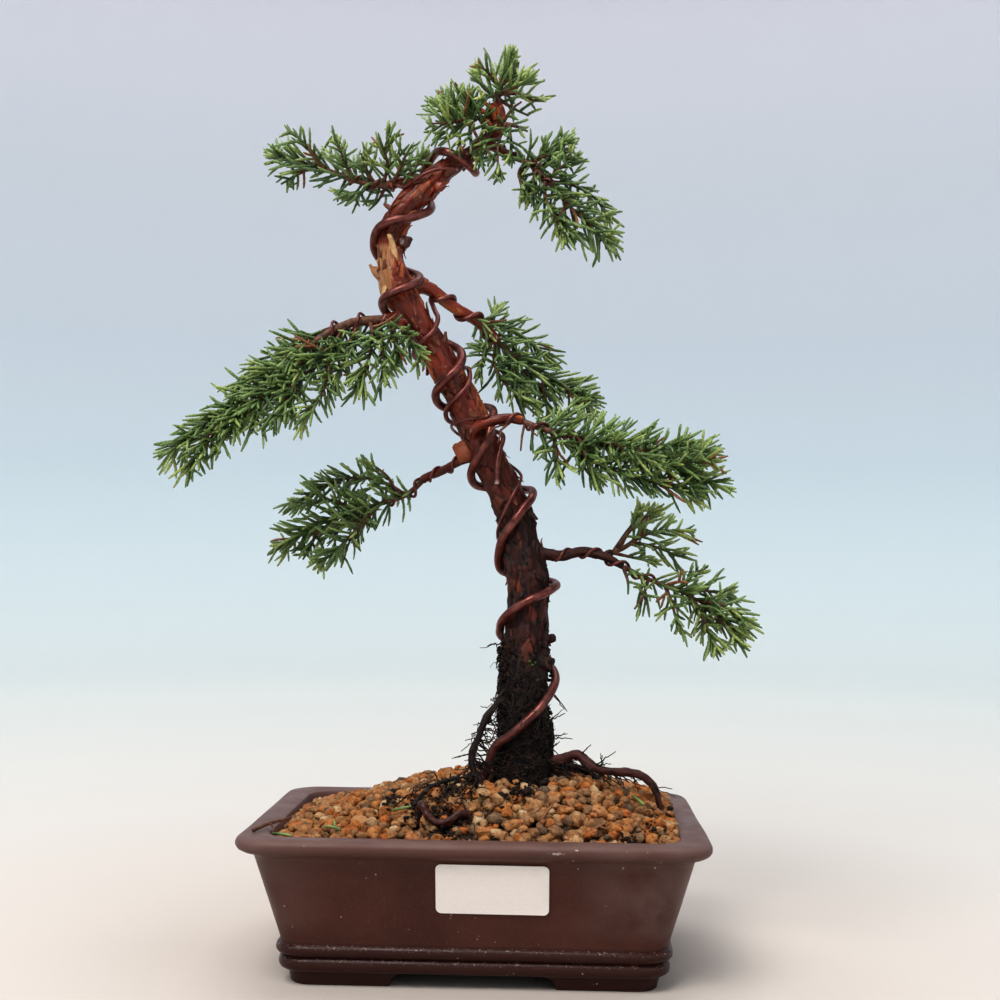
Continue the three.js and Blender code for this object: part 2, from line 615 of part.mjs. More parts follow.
// The wire of the back right branch is the end of the medium one on the trunk
function wireRoutes() {
  const thick = [...routeOnTrunk(THICK_ROUTE, WIRE.thick), ...THICK_END.map(vector)];
  const routes = [{ name: 'wire_trunk_thick', points: thick, radius: WIRE.thick, sides: SIDES.thickWire }];
  for (const branch of BRANCHES.filter((each) => each.wire)) {
    const points = woundPoints(branch);
    const { radius } = branch.wire;
    if (branch.name === MEDIUM_BRANCH) {
      const medium = [...routeOnTrunk(MEDIUM_ROUTE, radius), ...points];
      routes.push({ name: 'wire_trunk_medium', points: medium, radius, sides: SIDES.thinWire });
    } else {
      routes.push({ name: `wire_${branch.name}`, points, radius, sides: SIDES.thinWire });
    }
  }
  return routes;
}

const wireOf = ({ points, radius, sides }, extra = 0) => (
  wireSolid(points, radius + extra, sides, points.length - 1));

// Foliage
// One scale-leaf cord, three-sided, from the middle of its stem to its tip
function needle(start, tip, radius) {
  const length = start.distanceTo(tip);
  const direction = tip.clone().sub(start).normalize();
  const geometry = new THREE.ConeGeometry(radius, length, SIDES.needle);
  geometry.translate(0, length / 2, 0);
  geometry.applyQuaternion(new THREE.Quaternion().setFromUnitVectors(new THREE.Vector3(0, 1, 0), direction));
  geometry.translate(start.x, start.y, start.z);
  return solid(geometry);
}

// Where the cords of a stem stand: golden-angle turns, leaning forward more towards the tip
function needlesOn(curve, { reach, from, wire, random }) {
  const length = curve.getLength();
  const count = Math.max(3, Math.round((length * (1 - from)) / NEEDLE.spacing));
  const cords = [];
  for (let k = 0; k < count; k++) {
    const along = from + ((1 - from) * (k + 0.5)) / count;
    const start = curve.getPointAt(along);
    const tangent = curve.getTangentAt(along);
    const { side, up } = acrossStem(tangent);
    const [drawTurn, drawLean, drawReach, drawRise] = [random(), random(), random(), random()];
    let turn = k * NEEDLE.golden + (drawTurn - 0.5) * 30;
    if (wire && along > wire.from - 0.02 && along < wire.to + 0.02) {
      const wound = THREE.MathUtils.radToDeg(woundAngle(wire, along));
      const off = ((((turn - wound) % 360) + 540) % 360) - 180;
      if (Math.abs(off) < NEEDLE.wireClear) turn = wound + (off < 0 ? -1 : 1) * NEEDLE.wireClear;
    }
    const lean = THREE.MathUtils.lerp(NEEDLE.leanBase, NEEDLE.leanTip, along) + (drawLean - 0.5) * 16;
    const angle = THREE.MathUtils.degToRad(turn);
    const fullness = 0.72 + 0.28 * Math.sin(Math.PI * Math.min(1, 0.25 + along));
    const standOff = reach * fullness * (0.84 + 0.36 * drawReach);
    const tip = start.clone()
      .addScaledVector(side, standOff * Math.cos(angle))
      .addScaledVector(up, standOff * Math.sin(angle))
      .addScaledVector(tangent, standOff / Math.tan(THREE.MathUtils.degToRad(lean)));
    tip.z += standOff * NEEDLE.rise * (drawRise - 0.3);
    cords.push({ start, tip });
  }
  const end = curve.getPointAt(1);
  cords.push({ start: curve.getPointAt(0.96), tip: end.addScaledVector(curve.getTangentAt(1), 0.5 * reach) });
  return cords;
}

// The leafy stems of a branch with their cords, as curves
function stemsOf(branch) {
  const whole = branchCurve(branch);
  const gap = branch.bare > 0 ? GAP / whole.getLength() : 0;
  const start = branch.bare + gap;
  const main = {
    curve: stretch(whole, start, 1, 8), radius: [Math.max(1.7, branchRadius(branch, start)), 1.2],
    reach: branch.reach, from: 0.06, wire: null,
  };
  if (branch.wire) {
    const { wire } = branch;
    const share = (along) => (along - start) / (1 - start);
    const turnsPer = wire.turns / (wire.to - wire.from);
    const from = Math.max(wire.from, start);
    const skipped = (from - wire.from) * turnsPer;
    main.wire = {
      from: share(from), to: share(wire.to), turns: wire.turns - skipped, angle: wire.angle + 360 * skipped,
    };
  }
  const twigs = branch.twigs.map(({ reach, points }) => ({
    curve: curveThrough(points), radius: [1.7, 1.2], reach, from: 0.16, wire: null,
  }));
  return [main, ...twigs];
}

function spray(branch, seed, extra = 0) {
  const random = randomFrom(seed);
  const parts = [];
  for (const stem of stemsOf(branch)) {
    const radiusAt = (along) => THREE.MathUtils.lerp(stem.radius[0], stem.radius[1], along) + extra;
    const steps = Math.max(2, Math.round(stem.curve.getLength() / NEEDLE.stemStep));
    parts.push(limb(stem.curve, { sides: SIDES.stem, steps, radiusAt }));
    for (const { start, tip } of needlesOn(stem.curve, { ...stem, random })) {
      parts.push(needle(start, tip, NEEDLE.radius + 1.8 * extra));
    }
  }
  return join(parts);
}

// Label: a blank paper sticker on the front wall, parallel to it
function label() {
  const { width, height, corner, thick } = LABEL;
  const outline = new THREE.Shape(roundedRectangle(width / 2, height / 2, corner));
  const sheet = new THREE.ExtrudeGeometry(outline, { depth: thick, bevelEnabled: false });
  const rise = POT.wallTop - POT.wallFoot;
  const run = POT.wallFootInset - POT.wallTopInset;
  sheet.rotateX(Math.PI / 2 + Math.atan2(run, rise));
  const share = (LABEL.centreZ - POT.wallFoot) / rise;
  const wallY = -(POT.halfY - THREE.MathUtils.lerp(POT.wallFootInset, POT.wallTopInset, share));
  sheet.translate(LABEL.centreX, wallY - GAP, LABEL.centreZ);
  return solid(sheet);
}

// Assembly
const bonsai = new THREE.Group();

function place(name, manifold, color, roughness, metalness = 0) {
  const finish = new THREE.MeshStandardMaterial({ color, roughness, metalness });
  const mesh = new THREE.Mesh(geometryOf(manifold), finish);
  mesh.name = name;
  bonsai.add(mesh);
  return mesh;
}

place('pot', pot(), COLOUR.clay, 0.55);

const screenSolid = drainScreen();
const screenPockets = [];
for (const [name, side] of [['drain_screen_left', -1], ['drain_screen_right', 1]]) {
  const mesh = place(name, screenSolid, COLOUR.screen, 0.5);
  mesh.position.set(side * DRAIN.offset, 0, POT.floor + GAP);
  const room = DRAIN.screen + 2 * GAP;
  const pocket = new THREE.BoxGeometry(room, room, 2 * (DRAIN.screenThick + 2 * GAP));
  pocket.translate(side * DRAIN.offset, 0, POT.floor);
  screenPockets.push(solid(pocket));
}

const routes = wireRoutes();
const wireRoom = join(routes.map((route) => wireOf(route, GAP * 1.3)));
const trunkRoom = growth(GAP);
const loopRoom = rootLoop(GAP);

const inside = potInside(GAP);
place(
  'gravel',
  largest(gravelSlab().intersect(inside).subtract(join([...screenPockets, trunkRoom, wireRoom, loopRoom]))),
  COLOUR.gravel, 0.9,
);
place('trunk', growth(), COLOUR.bark, 0.75);
place('root_loop', rootLoop(), COLOUR.bark, 0.7);
for (const route of routes) place(route.name, wireOf(route), COLOUR.copper, 0.35, 0.8);

let taken = trunkRoom.add(wireRoom);
BRANCHES.forEach((branch, i) => {
  const seed = 101 + 17 * i;
  place(`foliage_${branch.name}`, largest(spray(branch, seed).subtract(taken)), COLOUR.foliage, 0.6);
  taken = taken.add(spray(branch, seed, GAP));
});

place('label', label(), COLOUR.paper, 0.6);

// The origin is on the ground under the middle of the whole
const box = new THREE.Box3().setFromObject(bonsai);
const centre = box.getCenter(new THREE.Vector3());
bonsai.position.set(-centre.x, -centre.y, -box.min.z);
bonsai.updateMatrixWorld(true);

export default bonsai;
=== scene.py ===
# Kishu juniper bonsai: a wired trunk with sprays of scale leaves, standing in gravel in a clay pot.
import math
import random

import bmesh
import bpy
import numpy as np
from mathutils import Matrix, Vector, kdtree, noise


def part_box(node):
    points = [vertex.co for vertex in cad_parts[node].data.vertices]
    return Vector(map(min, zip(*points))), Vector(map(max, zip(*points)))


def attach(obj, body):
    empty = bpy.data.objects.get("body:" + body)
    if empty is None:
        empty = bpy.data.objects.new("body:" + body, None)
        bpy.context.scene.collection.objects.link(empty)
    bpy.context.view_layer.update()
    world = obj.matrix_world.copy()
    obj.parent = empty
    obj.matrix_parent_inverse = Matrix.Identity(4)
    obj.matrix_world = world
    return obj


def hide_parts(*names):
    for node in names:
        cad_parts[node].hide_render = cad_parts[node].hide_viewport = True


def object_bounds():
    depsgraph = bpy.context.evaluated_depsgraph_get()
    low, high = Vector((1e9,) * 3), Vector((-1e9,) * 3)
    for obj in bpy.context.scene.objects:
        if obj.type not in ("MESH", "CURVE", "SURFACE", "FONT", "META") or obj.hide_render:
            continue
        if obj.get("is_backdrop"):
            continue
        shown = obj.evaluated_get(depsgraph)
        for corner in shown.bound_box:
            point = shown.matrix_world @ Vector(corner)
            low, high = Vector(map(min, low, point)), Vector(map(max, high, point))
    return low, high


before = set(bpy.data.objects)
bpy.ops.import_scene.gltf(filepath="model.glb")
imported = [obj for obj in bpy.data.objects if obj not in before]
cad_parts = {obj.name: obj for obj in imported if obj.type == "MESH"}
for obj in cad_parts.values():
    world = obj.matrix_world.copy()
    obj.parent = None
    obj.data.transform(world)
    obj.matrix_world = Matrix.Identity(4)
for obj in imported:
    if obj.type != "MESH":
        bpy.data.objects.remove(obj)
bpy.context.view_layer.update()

# The pot: a rectangular tray of unglazed dark brown clay, pressed in a mould and fired.
# Its rolled rim, two beads and four low feet are pressed with it, and its floor has two drain holes.
MM = 0.001
pot_low, pot_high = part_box("pot")
pot_middle = (pot_low + pot_high) / 2
POT_HALF_X = (pot_high.x - pot_low.x) / 2 / MM
POT_HALF_Y = (pot_high.y - pot_low.y) / 2 / MM
POT_HEIGHT = pot_high.z / MM
POT_CORNER = 12
POT_FLOOR = 12
FOOT_HEIGHT = 6.3
FOOT_INSET = 22.8
FOOT_WIDTH = 13
DRAIN_OFFSET = 40
DRAIN_RADIUS = 11


def place(x, y, z):
    """A point given in millimetres from the middle of the pot's foot, in the frame's metres."""
    return Vector((pot_middle.x + x * MM, pot_middle.y + y * MM, z * MM))


def bead(low, high, inset, bulge, steps=7):
    """Heights and insets of a half-round bead that stands out of the wall by its bulge."""
    turns = [math.pi * (step + 0.5) / steps for step in range(steps)]
    middle, half = (low + high) / 2, (high - low) / 2
    return [(middle - half * math.cos(turn), inset - bulge * math.sin(turn)) for turn in turns]


def stacked(levels, corner, corner_steps=6):
    """A closed shape with a rounded rectangle at each level: height and how far in from the rim."""
    shape = bmesh.new()
    bmesh.ops.create_grid(shape, x_segments=1, y_segments=1, size=1)
    half_x, half_y = POT_HALF_X - levels[0][1], POT_HALF_Y - levels[0][1]
    bmesh.ops.scale(shape, vec=(half_x, half_y, 1), verts=shape.verts)
    bmesh.ops.bevel(
        shape, geom=shape.verts[:], offset=corner, offset_type="OFFSET", affect="VERTICES",
        segments=corner_steps, profile=0.5, material=-1,
    )
    bmesh.ops.translate(shape, vec=(0, 0, levels[0][0]), verts=shape.verts)
    top = shape.faces[:]
    for (low, was), (high, inset) in zip(levels, levels[1:]):
        grown = bmesh.ops.extrude_face_region(shape, geom=top)["geom"]
        if low != levels[0][0]:
            bmesh.ops.delete(shape, geom=top, context="FACES_ONLY")
        top = [part for part in grown if isinstance(part, bmesh.types.BMFace)]
        points = [part for part in grown if isinstance(part, bmesh.types.BMVert)]
        shrink = ((POT_HALF_X - inset) / (POT_HALF_X - was), (POT_HALF_Y - inset) / (POT_HALF_Y - was), 1)
        bmesh.ops.scale(shape, vec=shrink, verts=points)
        bmesh.ops.translate(shape, vec=(0, 0, high - low), verts=points)
    bmesh.ops.recalc_face_normals(shape, faces=shape.faces)
    return shape


def solid_object(name, shape):
    """An object for a bmesh in millimetres round the pot's middle, at its place in the frame."""
    bmesh.ops.scale(shape, vec=(MM, MM, MM), verts=shape.verts)
    bmesh.ops.translate(shape, vec=place(0, 0, 0), verts=shape.verts)
    mesh = bpy.data.meshes.new(name)
    shape.to_mesh(mesh)
    shape.free()
    made = bpy.data.objects.new(name, mesh)
    bpy.context.scene.collection.objects.link(made)
    return made


def box_shape(low, high, rounding=0.0, steps=6, edges_along=1):
    """A box between two corners, with the upper edges along one axis rounded off."""
    shape = bmesh.new()
    bmesh.ops.create_cube(shape, size=1)
    size = Vector(high) - Vector(low)
    bmesh.ops.scale(shape, vec=size, verts=shape.verts)
    bmesh.ops.translate(shape, vec=(Vector(high) + Vector(low)) / 2, verts=shape.verts)
    if rounding:
        upper = [
            edge for edge in shape.edges
            if all(abs(v.co.z - high[2]) < 1e-6 for v in edge.verts)
            and abs((edge.verts[0].co - edge.verts[1].co)[edges_along]) > 1e-6
        ]
        bmesh.ops.bevel(
            shape, geom=upper, offset=rounding, offset_type="OFFSET", affect="EDGES",
            segments=steps, profile=0.5, material=-1,
        )
    return shape


def combine(target, other, operation):
    """Joins or cuts one closed object with another, which is then removed."""
    cut = target.modifiers.new("cut", "BOOLEAN")
    cut.object, cut.operation, cut.solver = other, operation, "EXACT"
    apply_modifiers(target)
    bpy.data.objects.remove(other)


def apply_modifiers(target):
    """Keeps the shape that an object's modifiers give it, and drops the modifiers."""
    evaluated = target.evaluated_get(bpy.context.evaluated_depsgraph_get())
    mesh = bpy.data.meshes.new_from_object(evaluated)
    target.modifiers.clear()
    target.data = mesh


def shade_round(target, sharp_degrees):
    """Smooth shading, with hard edges only where the surface turns by more than the angle."""
    target.data.shade_smooth()
    target.data.set_sharp_from_angle(angle=math.radians(sharp_degrees))


outside = [
    (FOOT_HEIGHT, 21.5), (FOOT_HEIGHT + 0.3, 19.6),
    *bead(6.9, 12.9, 18.9, 1.8), *bead(13.5, 19.0, 18.2, 2.3),
    (19.6, 17.7), (22, 17.1), (40, 12.1), (56.5, 7.55), (58.2, 7.0),
    (59.2, 6.2), (60.0, 4.6), (60.7, 2.6), (61.8, 1.0), (63.3, 0.1), (64.8, 0.0),
    (66.1, 0.5), (67.0, 1.6), (POT_HEIGHT, 3.3),
]
inside = [
    (POT_HEIGHT - 0.1, 7.5), (POT_HEIGHT - 0.2, 11.6), (POT_HEIGHT - 0.8, 13.0), (POT_HEIGHT - 2.2, 13.7),
    (62, 14.0), (45, 17.4), (20, 23), (14, 24.5), (POT_FLOOR, 26.5),
]
tray = stacked(outside + inside, POT_CORNER)
long_edges = [edge for edge in tray.edges if edge.calc_length() > 60]
bmesh.ops.subdivide_edges(tray, edges=long_edges, cuts=23, use_grid_fill=True)
noise.seed_set(3)
for vert in tray.verts:
    if vert.co.z > FOOT_HEIGHT + 0.1:
        wobble = noise.noise_vector(vert.co * 0.021)
        vert.co += Vector((wobble.x, wobble.y, wobble.z * 0.5)) * 0.55
pot = solid_object("pot_body", tray)
feet = solid_object("feet", stacked(
    [(0, FOOT_INSET + 0.6), (0.6, FOOT_INSET), (FOOT_HEIGHT + 0.6, FOOT_INSET - 1.3)], 9,
))
inner_x = POT_HALF_X - FOOT_INSET - FOOT_WIDTH
inner_y = POT_HALF_Y - FOOT_INSET - FOOT_WIDTH
hollow = box_shape((-inner_x, -inner_y, -1), (inner_x, inner_y, FOOT_HEIGHT + 0.3))
combine(feet, solid_object("hollow", hollow), "DIFFERENCE")
front_arch = box_shape((-37, -POT_HALF_Y, -1), (37, POT_HALF_Y, FOOT_HEIGHT + 0.05), 6.5, 8, 1)
combine(feet, solid_object("front_arch", front_arch), "DIFFERENCE")
side_arch = box_shape((-POT_HALF_X, -22, -1), (POT_HALF_X, 22, FOOT_HEIGHT + 0.05), 6.5, 8, 0)
combine(feet, solid_object("side_arch", side_arch), "DIFFERENCE")
combine(pot, feet, "UNION")
for side in (-1, 1):
    hole = bmesh.new()
    bmesh.ops.create_cone(
        hole, cap_ends=True, segments=40, radius1=DRAIN_RADIUS, radius2=DRAIN_RADIUS, depth=30,
        matrix=Matrix.Translation((side * DRAIN_OFFSET, 0, 6)),
    )
    combine(pot, solid_object("hole", hole), "DIFFERENCE")
shade_round(pot, 32)


def new_material(name):
    """A node material and its shader, ready to wire up."""
    material = bpy.data.materials.new(name)
    material.use_nodes = True
    return material, material.node_tree, material.node_tree.nodes["Principled BSDF"]


def node(tree, kind, inputs=None, **settings):
    """A node with its settings and inputs. An input may be a number, a colour or another node's output."""
    made = tree.nodes.new(kind)
    for name, value in settings.items():
        setattr(made, name, value)
    for name, value in (inputs or {}).items():
        if isinstance(value, bpy.types.NodeSocket):
            tree.links.new(value, made.inputs[name])
        else:
            made.inputs[name].default_value = value
    return made


def coordinates(tree, scale=(1, 1, 1)):
    """The piece's own coordinates in metres, stretched by a scale on each axis."""
    source = node(tree, "ShaderNodeTexCoord").outputs["Object"]
    return node(tree, "ShaderNodeMapping", {"Vector": source, "Scale": scale}).outputs["Vector"]


def cloudy(tree, where, scale, detail=4.0, rough=0.55, distortion=0.0):
    """A soft random pattern from 0 to 1 at a scale in cells per metre."""
    inputs = {
        "Vector": where, "Scale": scale, "Detail": detail, "Roughness": rough, "Distortion": distortion,
    }
    return node(tree, "ShaderNodeTexNoise", inputs).outputs["Fac"]


def ramp(tree, value, low, high, start=0.0, end=1.0):
    """A smooth step of a value from one number to another."""
    inputs = {"Value": value, "From Min": low, "From Max": high, "To Min": start, "To Max": end}
    return node(tree, "ShaderNodeMapRange", inputs, interpolation_type="SMOOTHSTEP").outputs["Result"]


def blend_colours(tree, share, first, second, kind="MIX"):
    """A mix of two colours, each a colour or a socket."""
    mixer = node(tree, "ShaderNodeMix", data_type="RGBA", blend_type=kind)
    for socket, value in ((0, share), (6, first), (7, second)):
        if isinstance(value, bpy.types.NodeSocket):
            tree.links.new(value, mixer.inputs[socket])
        elif socket == 0:
            mixer.inputs[socket].default_value = value
        else:
            mixer.inputs[socket].default_value = (*value, 1)
    return mixer.outputs[2]


def times(tree, first, second, operation="MULTIPLY"):
    """The product of two values, or another sum of them."""
    return node(tree, "ShaderNodeMath", {0: first, 1: second}, operation=operation).outputs[0]


def rounded_up(tree, height, strength, distance):
    """A bump of a height pattern, with its depth in metres."""
    inputs = {"Height": height, "Strength": strength, "Distance": distance}
    return node(tree, "ShaderNodeBump", inputs).outputs["Normal"]


def facing_up(tree):
    """How far the surface faces upwards, from -1 to 1."""
    normal = node(tree, "ShaderNodeNewGeometry").outputs["Normal"]
    return node(tree, "ShaderNodeSeparateXYZ", {"Vector": normal}).outputs["Z"]


def height_of(tree):
    """The height of the point above the ground, in metres."""
    where = node(tree, "ShaderNodeTexCoord").outputs["Object"]
    return node(tree, "ShaderNodeSeparateXYZ", {"Vector": where}).outputs["Z"]


clay, tree, shader = new_material("fired_clay")
where = coordinates(tree)
mottle = cloudy(tree, where, 22, 5)
colour = blend_colours(tree, ramp(tree, mottle, 0.3, 0.7), (0.045, 0.0135, 0.009), (0.074, 0.0245, 0.017))
grain = cloudy(tree, where, 900, 3)
colour = blend_colours(tree, ramp(tree, grain, 0.4, 0.85, 0, 0.3), colour, (0.11, 0.052, 0.042))
settled_dust = ramp(tree, cloudy(tree, where, 55, 6), 0.25, 0.75, 0.3, 0.75)
settled_dust = times(tree, settled_dust, ramp(tree, height_of(tree), 0.03, 0.06, 0.1, 1))
dust = times(tree, ramp(tree, facing_up(tree), 0.15, 0.95), settled_dust)
colour = blend_colours(tree, dust, colour, (0.16, 0.098, 0.082))
# The top of the wall and the rim grow lighter upwards: a painted highlight along the rim
high = ramp(tree, height_of(tree), 0.052, 0.064, 0, 0.4)
colour = blend_colours(tree, high, colour, (0.13, 0.07, 0.06))
# The walls are dustier towards the corners, and the beads are darker, with a painted highlight dotted along
# their upper edges
sideways = node(tree, "ShaderNodeSeparateXYZ", {"Vector": where}).outputs["X"]
corners = ramp(tree, times(tree, sideways, 0.0, "ABSOLUTE"), 0.045, 0.1, 0, 0.85)
haze = times(tree, corners, ramp(tree, cloudy(tree, where, 26, 5), 0.35, 0.65))
haze = times(tree, haze, ramp(tree, height_of(tree), 0.021, 0.03))
colour = blend_colours(tree, haze, colour, (0.125, 0.075, 0.066))
on_beads = ramp(tree, height_of(tree), 0.0205, 0.0185)
colour = blend_colours(tree, times(tree, on_beads, 0.8), colour, (0.024, 0.0065, 0.0045))
# Pale dots on the beads' upper faces: painted highlight
painted_glints = times(tree, on_beads, ramp(tree, facing_up(tree), 0.1, 0.55))
painted_glints = times(tree, painted_glints, ramp(tree, cloudy(tree, where, 800, 3, 0.7), 0.56, 0.66, 0, 0.6))
colour = blend_colours(tree, painted_glints, colour, (0.34, 0.22, 0.19))
specks = ramp(tree, cloudy(tree, where, 420, 2), 0.7, 0.74)
specks = times(tree, specks, ramp(tree, cloudy(tree, where, 40, 2), 0.5, 0.62, 0.0, 0.8))
colour = blend_colours(tree, specks, colour, (0.4, 0.34, 0.3))
scrape_place = Matrix.Diagonal((1 / 0.005, 1 / 0.004, 1 / 0.0009)) @ place(36.8, -74.9, 64.4)
scrape = node(tree, "ShaderNodeVectorMath", {
    0: coordinates(tree, (1 / 0.005, 1 / 0.004, 1 / 0.0009)), 1: scrape_place,
}, operation="DISTANCE").outputs["Value"]
scrape = times(tree, scrape, times(tree, cloudy(tree, where, 1100, 4, 0.7), 2.4), "ADD")
colour = blend_colours(tree, ramp(tree, scrape, 1.9, 1.45, 0, 0.6), colour, (0.5, 0.43, 0.39))
tree.links.new(colour, shader.inputs["Base Color"])
dull = times(
    tree, ramp(tree, cloudy(tree, where, 60, 5), 0.3, 0.75, 0.4, 0.58),
    ramp(tree, on_beads, 0, 1, 0, 0.1), "SUBTRACT",
)
tree.links.new(dull, shader.inputs["Roughness"])
relief = node(tree, "ShaderNodeMath", {0: grain, 1: 0.5, 2: mottle}, operation="MULTIPLY_ADD").outputs[0]
tree.links.new(rounded_up(tree, relief, 0.35, 0.0003), shader.inputs["Normal"])
shader.inputs["Specular IOR Level"].default_value = 0.22
pot.data.materials.clear()
pot.data.materials.append(clay)
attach(pot, "root")
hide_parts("pot")

# The drain screens: squares of black plastic mesh laid over the two holes in the pot's floor.
# Each is cut from a sheet of welded bars and only lies there, held down by the gravel.
SCREEN_CELLS = 12
SCREEN_BAR = 0.7


def finished(name, mesh, material, slot_name, *nodes):
    """An object for a finished mesh with its finish, which may stand for solids of the frame."""
    made = bpy.data.objects.new(name, mesh)
    bpy.context.scene.collection.objects.link(made)
    mesh.materials.clear()
    mesh.materials.append(material)
    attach(made, "root")
    if nodes:
        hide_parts(*nodes)
    return made


plastic, tree, shader = new_material("black_mesh_plastic")
where = coordinates(tree)
scuffs = ramp(tree, cloudy(tree, where, 300, 4), 0.35, 0.7)
tree.links.new(
    blend_colours(tree, scuffs, (0.012, 0.013, 0.015), (0.035, 0.036, 0.04)),
    shader.inputs["Base Color"],
)
tree.links.new(ramp(tree, cloudy(tree, where, 120), 0.3, 0.7, 0.38, 0.6), shader.inputs["Roughness"])
for name in ("drain_screen_left", "drain_screen_right"):
    low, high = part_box(name)
    screen = bmesh.new()
    bmesh.ops.create_grid(
        screen, x_segments=SCREEN_CELLS, y_segments=SCREEN_CELLS, size=(high.x - low.x) / 2 - 0.0004,
        matrix=Matrix.Translation((low + high) / 2),
    )
    bmesh.ops.wireframe(
        screen, faces=screen.faces, thickness=SCREEN_BAR * MM, offset=0, use_replace=True,
        use_boundary=True, use_even_offset=True,
    )
    mesh = bpy.data.meshes.new(name)
    screen.to_mesh(mesh)
    screen.free()
    finished(name + "_mesh", mesh, plastic, "screen", name)

# The soil: fine dark stuff under and between the grains, with the root ball in it.
# It is packed round the roots when the tree is potted, so it follows the solid of the frame.
SOIL_BELOW_GRAINS = 4.2


def merged_copy(name):
    """A bmesh copy of a solid of the frame, with its loose corners joined up."""
    copy = bmesh.new()
    copy.from_mesh(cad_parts[name].data)
    bmesh.ops.remove_doubles(copy, verts=copy.verts, dist=1e-6)
    return copy


def settled(x, y):
    """How much lower the filling lies near the pot's walls and in the dip at its left, in millimetres."""
    dip = 3.4 * math.exp(-((x + 54) / 25) ** 2)
    return dip + 1.4 * min(1, abs(x) / 90) ** 7 + 0.4 * min(1, abs(y) / 61) ** 9


soil_shape = merged_copy("gravel")
for vert in soil_shape.verts:
    if vert.co.z > 0.05:
        dot = (vert.co - place(0, 0, 0)) / MM
        vert.co.z -= (SOIL_BELOW_GRAINS + settled(dot.x, dot.y)) * MM
soil_mesh = bpy.data.meshes.new("soil")
soil_shape.to_mesh(soil_mesh)
soil_shape.free()
earth, tree, shader = new_material("dark_soil")
where = coordinates(tree)
crumbs = cloudy(tree, where, 700, 6, 0.7)
colour = blend_colours(tree, ramp(tree, crumbs, 0.35, 0.7), (0.012, 0.008, 0.006), (0.09, 0.045, 0.022))
tree.links.new(colour, shader.inputs["Base Color"])
shader.inputs["Roughness"].default_value = 0.95
tree.links.new(rounded_up(tree, crumbs, 0.9, 0.0012), shader.inputs["Normal"])
finished("soil", soil_mesh, earth, "gravel", "gravel")

# The trunk: juniper wood with its bark, roots and branch wood, which the grower bent with wire.
# Each limb is a taper along its route. All are grown into one skin, then the bark is cracked and split.
TRUNK = [
    (21.5, 0, 64, 14.5), (21.4, 0, 78, 13.6), (21.3, 0, 90, 12.9), (21.2, 0, 102, 12.5),
    (21.2, 0, 115, 12), (21, 1, 129, 12), (21, 2, 146, 11.5), (22, 3, 163, 10.8), (21.8, 4, 180, 11),
    (18.9, 4, 193, 10.3), (16.4, 4, 208, 9.2), (12, 4, 220, 9.2), (5.8, 4, 232, 9), (-0.2, 3, 244, 9),
    (-6, 2, 257, 8.9), (-11, 1, 268, 8.4), (-17.6, 0, 279, 8.2), (-26, -1, 294, 7.9), (-36, -2, 310, 8.3),
    (-42.1, -2, 321, 8.8), (-46, -3, 331, 7.7), (-47.2, -3, 341, 6.9), (-46, -3, 351, 6.9),
    (-40.5, -3, 361, 7.2), (-32, -3, 371, 6.8), (-20.5, -2, 381, 5.6), (-12, -1, 387, 4.9),
    (-3.6, 0, 393, 4.6), (2.4, 1, 401, 4.4), (5, 1, 409, 4.2), (4, 1, 416, 3.8),
]
# Roots at its foot: radius at each end, then the route
ROOTS = [
    ((1.8, 1.3), [
        (14, -4, 129), (6, -8, 119), (2, -10, 113), (-1, -11, 104), (-4, -12, 97), (-3, -13, 90),
        (1, -15, 80),
    ]),
    ((2.8, 1.5), [
        (27, -2, 93), (38, -3, 94), (46, -5, 97), (51, -8, 94), (56, -10, 91), (66, -12, 90),
        (76, -13, 89), (83, -14, 83), (86, -14, 72),
    ]),
    ((2.4, 1.1), [
        (28, 3, 92), (38, 6, 90), (50, 6, 88), (62, 4, 80),
    ]),
    ((3.2, 1.4), [
        (15, 4, 94), (6, 11, 90), (-6, 17, 84), (-12, 20, 76),
    ]),
    ((3, 1.3), [
        (22, 6, 94), (26, 17, 90), (33, 28, 82), (38, 34, 72),
    ]),
]
# Dead wood, a torn stub and spikes where branches were taken off
STUBS = [
    ((1.9, 1), [
        (-37, -3, 305), (-40, -11, 303), (-39, -14, 299),
    ]),
    ((2.4, 0.7), [
        (-45, -2, 325), (-53, -4, 328), (-57, -5, 334),
    ]),
    ((1.7, 1.1), [
        (-44, -2, 338), (-39, -7, 343), (-36, -9, 346),
    ]),
    ((1.5, 0.7), [
        (13, 3, 215), (23, 2, 211), (26, 0, 207),
    ]),
    ((2.2, 1.5), [
        (26, 2, 150), (33, -3, 152), (35, -5, 153),
    ]),
    ((2.0, 2.6), [
        (-46.5, -3, 313), (-50, -3.5, 321), (-50.6, -3.5, 330), (-49.5, -3, 338),
    ]),
]
